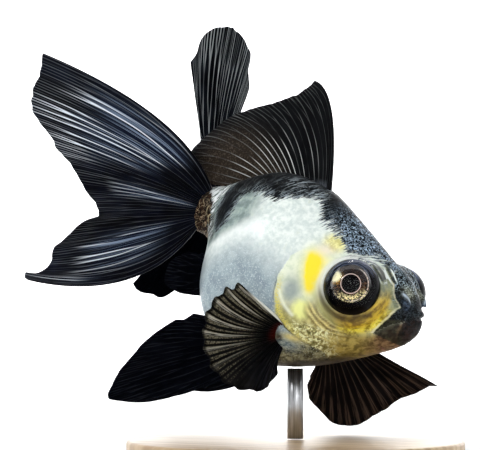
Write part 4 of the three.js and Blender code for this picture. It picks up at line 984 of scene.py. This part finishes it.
def finFinish(name, tone):
    g = Finish(name + "FinMembrane")
    ray, reach, across = g.value("ray"), g.value("reach"), g.value("across")
    side, paleStreakAndHighlight = g.value("side"), g.value("paleStreakAndHighlight")
    stretch = 1.2 if name.startswith("tail") else 4
    threads = g.noise(g.vector(across * 9, reach * stretch, g.value("own") * 5), 1.0, detail=3.0)
    bundle = g.noise(g.vector(across * 0.42, reach * 1.2), 1.0, detail=3.0)
    strands = g.noise(g.vector(across * 2.2 + 7, reach * 0.9), 1.0, detail=1.0, rough=0.5)
    cloud = g.noise(g.place(), 6 * mm)
    grain = g.noise(g.place(), 0.4 * mm)
    ink = g.shade(tone["dark"], tone["sheen"], bundle * 0.6 + cloud * 0.4, 0.4, 0.66)
    crest = ray.span(0.68, 1.0)
    thin = ray.span(reach.span(0.35, 0.9, 0.8, 0.35), 1.0)
    faint = threads.span(0.4, 0.6) * tone["faint"]
    if name == "dorsal":
        warm = side.span(0.4, 0.8) * reach.span(1.05, 0.6)
        sheen = threads.span(0.45, 0.58) * reach.span(0.08, 0.01) * side.span(0.06, 0.12) * side.span(0.32, 0.2)
        ink = g.lay(ink, (warm * (0.35 + 0.65 * threads), (48, 40, 33)),
                    (grain.span(0.52, 0.64) * warm * 0.4, (92, 84, 72)), (sheen * 0.6, (128, 136, 146)))
    if name == "tail":
        paleStreakAndHighlight = paleStreakAndHighlight * reach.span(1.12, 0.8)
        # painted sheen round the streaks: a bluish tone and fine pale threads
        inner = paleStreakAndHighlight.least(1.0) * reach.span(0.9, 0.6)
        ink = g.lay(ink, (inner * 0.6, (22, 30, 50)), (inner * threads.span(0.5, 0.6) * 0.8, (136, 154, 180)))
    if name == "tailFar":
        ink = g.lay(ink, (side.span(0.45, 0.6), (2, 3, 5)))
        faint = faint * side.span(0.55, 0.4) * reach.span(0.1, 0.3)
    # ray lines: faint on every ray, strong along the streaks, whose brightness is partly painted highlight
    lit = thin * (strands.span(0.42, 0.6) * (0.4 + threads) * paleStreakAndHighlight * 2.0 + faint)
    colour = g.lay(ink, (lit.least(1.0), tone["line"]))
    if name == "pectoral":
        raised = ray.span(0.45, 0.95) * reach.span(0.15, 0.5) * (0.2 + 0.8 * grain.span(0.4, 0.6))
        # painted highlight on the crests of the fin's folds
        pale = g.value("fold").span(0.75, 0.98) * crest.most(threads.span(0.42, 0.6)) * reach.span(0.22, 0.5)
        beads = g.noise(g.vector(across * 2.5, reach * 46), 1.0, detail=2.0).span(0.5, 0.62)
        colour = g.lay(
            ink,
            (raised * side.span(0.72, 0.38) * 0.75, (116, 110, 92)),
            (pale * side.span(0.66, 0.3) * 0.9, tone["line"]),
            (beads * crest * reach.span(0.3, 0.6) * side.span(0.76, 0.5) * 0.45, (140, 134, 110)),
            (crest * threads * side.span(0.7, 0.9) * 0.6, (34, 32, 44)),
            (reach.span(0.93, 0.97) * 0.85, tone["dark"]),
            (g.value("lead").span(0.5, 0.9) * reach.span(0.9, 0.6), (228, 230, 222)),
            (reach.span(0.17, 0.05) * side.span(0.75, 0.4) * 0.9, (62, 14, 10)),
        )
    wet = tone.get("wet", 1.0)
    return g.surface(Base_Color=colour, Roughness=0.42 + 0.16 * threads,
                     Normal=g.bump(crest * 0.6 + threads * 0.4, 0.3, 0.0001), IOR=1.38,
                     Specular_IOR_Level=0.04 * wet, Coat_Weight=0.02 * wet, Coat_Roughness=0.25)


finishes = {name: finFinish(name, tone) for name, tone in finTones.items()}
for name, fin in fins.items():
    piece = buildFin(name, fin)
    piece.data.materials.append(finishes[fin["finish"]])
    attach(piece, "root")
    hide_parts(*fin.get("replaces", (name,)))
print("fins", len(fins))


def irisFinish():
    g = Finish("goldIris")
    out, back, rise = g.value("out"), g.value("back"), g.value("rise")
    mottle = g.noise(g.place(), 0.4 * mm, detail=4.0, rough=0.7)
    flecksAndCrinkleLight = g.noise(g.vector(g.value("spin") * 5, out * 0.9), 1.0, detail=4.0, rough=0.7)
    low = (rise * -1 - back * 0.35).span(0.2, 2.6)
    patch = (back - 2.2) ** 2 + (rise - 2.2) ** 2
    ring = out.span(eye["pupil"] + 0.1, eye["pupil"] + 0.15) * out.span(eye["pupil"] + 0.31, eye["pupil"] + 0.25)
    arc = out.span(4.0, 4.08) * out.span(4.3, 4.2) * (back * -1).span(1.5, 3.5)
    gold = g.lay(
        g.shade((9, 6, 5), (104, 72, 50), mottle * 0.5 + flecksAndCrinkleLight * 0.5, 0.47, 0.6),
        (patch.span(5.5, 1.5) * mottle.span(0.42, 0.54) * 0.9, (176, 132, 46)),
        (rise.span(1.4, 3.6) * 0.8, (30, 26, 28)),
        (mottle.span(0.49, 0.55) * low * out.span(2.5, 3.1), (252, 238, 176)),
        # painted highlight: a cream patch on the iris's upper left
        (patch.span(2.6, 0.5) * (0.5 + mottle), (250, 244, 200)),
        (ring * (0.55 + mottle * 0.6), (240, 214, 204)),
        (arc * mottle.span(0.35, 0.55), (240, 222, 206)),
    )
    isIris = out.span(eye["pupil"] - 0.05, eye["pupil"] + 0.05) * out.span(eye["iris"] + 0.05, eye["iris"] - 0.15)
    sheen = g.noise(g.vector(out * 3, rise * 0.35), 1.0, detail=2.0)
    glint = sheen.span(0.42, 0.62) * out.span(4.5, 5.0) * (rise + back * 0.4).span(1.0, 5.0) * 0.8
    colour = g.mix(g.shade((2, 2, 4), (104, 116, 144), glint), gold, isIris)
    return g.surface(Base_Color=colour, Metallic=isIris * 0.12, Roughness=0.2 + isIris * 0.2,
                     Normal=g.bump(flecksAndCrinkleLight * isIris, 0.4, 0.0002), Specular_IOR_Level=0.04)


def corneaFinish():
    g = Finish("clearCornea")
    haze = g.noise(g.place(), 2 * mm)
    gloss = g.node("ShaderNodeBsdfGlossy", None, {"Color": (1, 1, 1, 1), "Roughness": 0.04 + haze * 0.04})
    clear = g.node("ShaderNodeBsdfTransparent", None, {"Color": (1, 1, 1, 1)})
    edge = g.node("ShaderNodeFresnel", None, {"IOR": 1.33})
    both = g.node("ShaderNodeMixShader", None, {0: edge * 0.22, 1: clear, 2: gloss})
    g.node("ShaderNodeOutputMaterial", None, {"Surface": both})
    return g.material


def buildEye(side):
    r, iris, pupil = eye["radius"], eye["iris"], eye["pupil"]
    angle = np.linspace(2.75, math.asin((iris + 0.12) / r), 26)
    ball = [(r * math.sin(k), r * math.cos(k)) for k in angle]
    edge = ball[-1][1]
    ball += [(iris, edge - 0.06), (iris - 0.12, edge - 0.2), (iris - 0.5, edge - 0.22), (iris - 1.1, edge - 0.14),
             (pupil + 0.6, edge + 0.02), (pupil + 0.3, edge + 0.14), (pupil + 0.08, edge + 0.16), (pupil, edge + 0.06),
             (pupil - 0.06, edge - 0.05)]
    ball += [((pupil - 0.1) * math.cos(k), edge - 0.05 + 0.7 * math.sin(k)) for k in np.linspace(0.1, 1.53, 9)]
    segments = eye["segments"]
    points, faces, spin = turned(ball, eye["place"][side], eye["look"] * [1, side, 1], segments)
    points, faces, caps = closeEnds(points, faces, segments)
    caps = np.concatenate([caps, caps[:, :1]], 1)
    out = np.concatenate([np.repeat([p[0] for p in ball], segments), [0, 0]])
    away = points - eye["place"][side]
    values = {"out": out, "spin": np.concatenate([np.tile(np.abs(spin - math.pi), len(ball)), [0, 0]]),
              "back": -away[:, 0], "rise": away[:, 2]}
    return points, faces, caps, values


for label, side in (("left", 1), ("right", -1)):
    points, faces, caps, values = buildEye(side)
    ball = addMesh("eyeball_" + label, points, np.concatenate([faces, caps]), values)
    ball.data.materials.append(irisFinish())
    wide, rise = eye["cornea"] + 0.4, eye["rise"] - 0.1
    dome = [(wide * math.cos(k),
             math.sqrt(eye["radius"] ** 2 - (wide * math.cos(k)) ** 2) + 0.03 + rise * math.sin(k) ** 2)
            for k in np.linspace(0, 1.545, 22)]
    inner = [(p[0] * 0.975, p[1] - 0.12) for p in dome[::-1]]
    points, faces, _ = turned(dome + inner, eye["place"][side], eye["look"] * [1, side, 1], eye["socketSegments"])
    cornea = addMesh("cornea_" + label, points, faces)
    cornea.data.materials.append(corneaFinish())
    for piece in (ball, cornea):
        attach(piece, "root")
    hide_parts("eye_" + label)
print("eyes")

stand = {"radius": 42.0, "thick": 6.0, "bevel": 0.8, "rod": 2.0}


def mapleFinish():
    g = Finish("oiledMaple")
    place = g.place()
    warp = g.noise(place, 26 * mm)
    stretch = g.node("ShaderNodeMapping", None, {"Vector": place, "Scale": (14.0, 240.0, 60.0)})
    grain = g.noise(stretch, 1.0, detail=5.0, rough=0.6)
    ringAt = g.node("ShaderNodeVectorMath", {"operation": "MULTIPLY"}, {0: place, 1: (20.0, 160.0, 160.0)})
    bands = g.node("ShaderNodeTexWave", {"bands_direction": "Y"}, {"Vector": ringAt, "Scale": 0.35, "Distortion": 5.0,
                                                                   "Detail": 3.0, "Detail Scale": 0.8}, out=1)
    colour = g.lay(g.shade((176, 146, 108), (204, 178, 140), grain, 0.35, 0.7),
                   (bands.span(0.6, 1.0) * 0.4 * (0.5 + warp), (150, 118, 82)))
    return g.surface(Base_Color=colour, Roughness=0.38 + 0.18 * grain, Normal=g.bump(grain, 0.2, 0.0001),
                     Coat_Weight=0.25, Coat_Roughness=0.25)


def steelFinish():
    g = Finish("brushedSteel")
    stretch = g.node("ShaderNodeMapping", None, {"Vector": g.place(), "Scale": (4000.0, 4000.0, 60.0)})
    brush = g.noise(stretch, 1.0, detail=2.0)
    return g.surface(Base_Color=g.shade((150, 152, 155), (205, 206, 208), brush, 0.3, 0.7), Metallic=1.0,
                     Roughness=0.26 + 0.14 * brush, Normal=g.bump(brush, 0.15, 0.00003))


def turnedPiece(name, profile, segments, finish):
    points, faces, _ = turned(profile, [0, 0, 0], [0, 0, 1], segments)
    points, faces, caps = closeEnds(points, faces, segments)
    caps = np.concatenate([caps, caps[:, :1]], 1)
    piece = addMesh(name + "_turned", points, np.concatenate([faces, caps]), into=millimetres)
    piece.data.materials.append(finish)
    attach(piece, "root")
    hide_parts(name)


r, top, bevel = stand["radius"], stand["thick"], stand["bevel"]
quarter = np.linspace(0, math.pi / 2, 7)
profile = [(0.3, 0.0)]
profile += [(r - bevel + bevel * math.sin(k), bevel - bevel * math.cos(k)) for k in quarter]
profile += [(r - bevel + bevel * math.cos(k), top - bevel + bevel * math.sin(k)) for k in quarter]
profile += [(r * 0.5, top), (stand["rod"] + 0.5, top), (0.3, top)]
turnedPiece("stand_base", profile, 160, mapleFinish())
radius = stand["rod"]
rodFoot, rodTop = (corner.z * 1000 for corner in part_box("stand_rod"))
profile = [(0.2, rodFoot), (radius, rodFoot), (radius, lerp(rodFoot, rodTop, 0.5)), (radius, rodTop), (0.2, rodTop)]
turnedPiece("stand_rod", profile, 48, steelFinish())
print("stand")

view = {"azimuth": math.radians(30), "elevation": math.radians(-2.5), "distance": 0.5, "lens": 150, "sensor": 36,
        "near": 0.01, "far": 20, "target": Vector((-0.0119, -0.0069, 0.0595))}
toCamera = Vector((math.sin(view["azimuth"]) * math.cos(view["elevation"]),
                   -math.cos(view["azimuth"]) * math.cos(view["elevation"]), math.sin(view["elevation"])))
camera = bpy.data.objects.new("camera", bpy.data.cameras.new("camera"))
camera.data.lens, camera.data.sensor_width = view["lens"], view["sensor"]
camera.data.clip_start, camera.data.clip_end = view["near"], view["far"]
camera.location = view["target"] + view["distance"] * toCamera
camera.rotation_euler = toCamera.to_track_quat("Z", "Y").to_euler()
bpy.context.scene.collection.objects.link(camera)
bpy.context.scene.camera = camera

sweep = {"flat": 1100.0, "bend": 500.0, "height": 1900.0}
profile = [(1.0, 0.0), (150, 0.0), (500, 0.0), (sweep["flat"], 0.0)]
profile += [(sweep["flat"] + sweep["bend"] * math.sin(k), sweep["bend"] * (1 - math.cos(k)))
            for k in np.linspace(0.05, math.pi / 2, 32)]
profile.append((sweep["flat"] + sweep["bend"], sweep["height"]))
points, faces, _ = turned(profile, [0, 0, 0], [0, 0, 1], 96)
floor = addMesh("studioSweep", points, faces[:, ::-1], into=millimetres)
g = Finish("paleSweep")
dust = g.noise(g.place(), 80 * mm)
sweepTone = g.shade((240, 241, 242), (246, 246, 246), dust)
floor.data.materials.append(g.surface(Base_Color=sweepTone, Roughness=0.9, Specular_IOR_Level=0.1))

worldLight = 0.36
lights = {
    "key": {"from": (-0.45, -0.8, 0.85), "size": 0.3, "power": 5.6},
    "front": {"from": (0.85, -0.6, 0.3), "size": 0.6, "power": 1.6},
    "rim": {"from": (-0.5, 0.7, 0.75), "size": 0.4, "power": 3.0},
    "wallLow": {"from": (-0.3, 0.75, 1.0), "size": 0.6, "power": 26.0, "to": (-0.8, 1.5, 0.25)},
}
for name, spec in lights.items():
    lamp = bpy.data.lights.new(name, "AREA")
    lamp.shape, lamp.size, lamp.energy = "DISK", spec["size"], spec["power"]
    holder = bpy.data.objects.new(name, lamp)
    holder.location = spec["from"]
    away = Vector(spec["from"]) - Vector(spec.get("to", (0, 0, pose["height"] * mm)))
    holder.rotation_euler = away.to_track_quat("Z", "Y").to_euler()
    bpy.context.scene.collection.objects.link(holder)
world = bpy.data.worlds.new("studio")
bpy.context.scene.world = world
world.use_nodes = True
background = world.node_tree.nodes["Background"]
background.inputs["Color"].default_value = (1, 1, 1, 1)
background.inputs["Strength"].default_value = worldLight
bpy.context.scene.view_settings.view_transform = "Standard"
print("camera, floor and light")
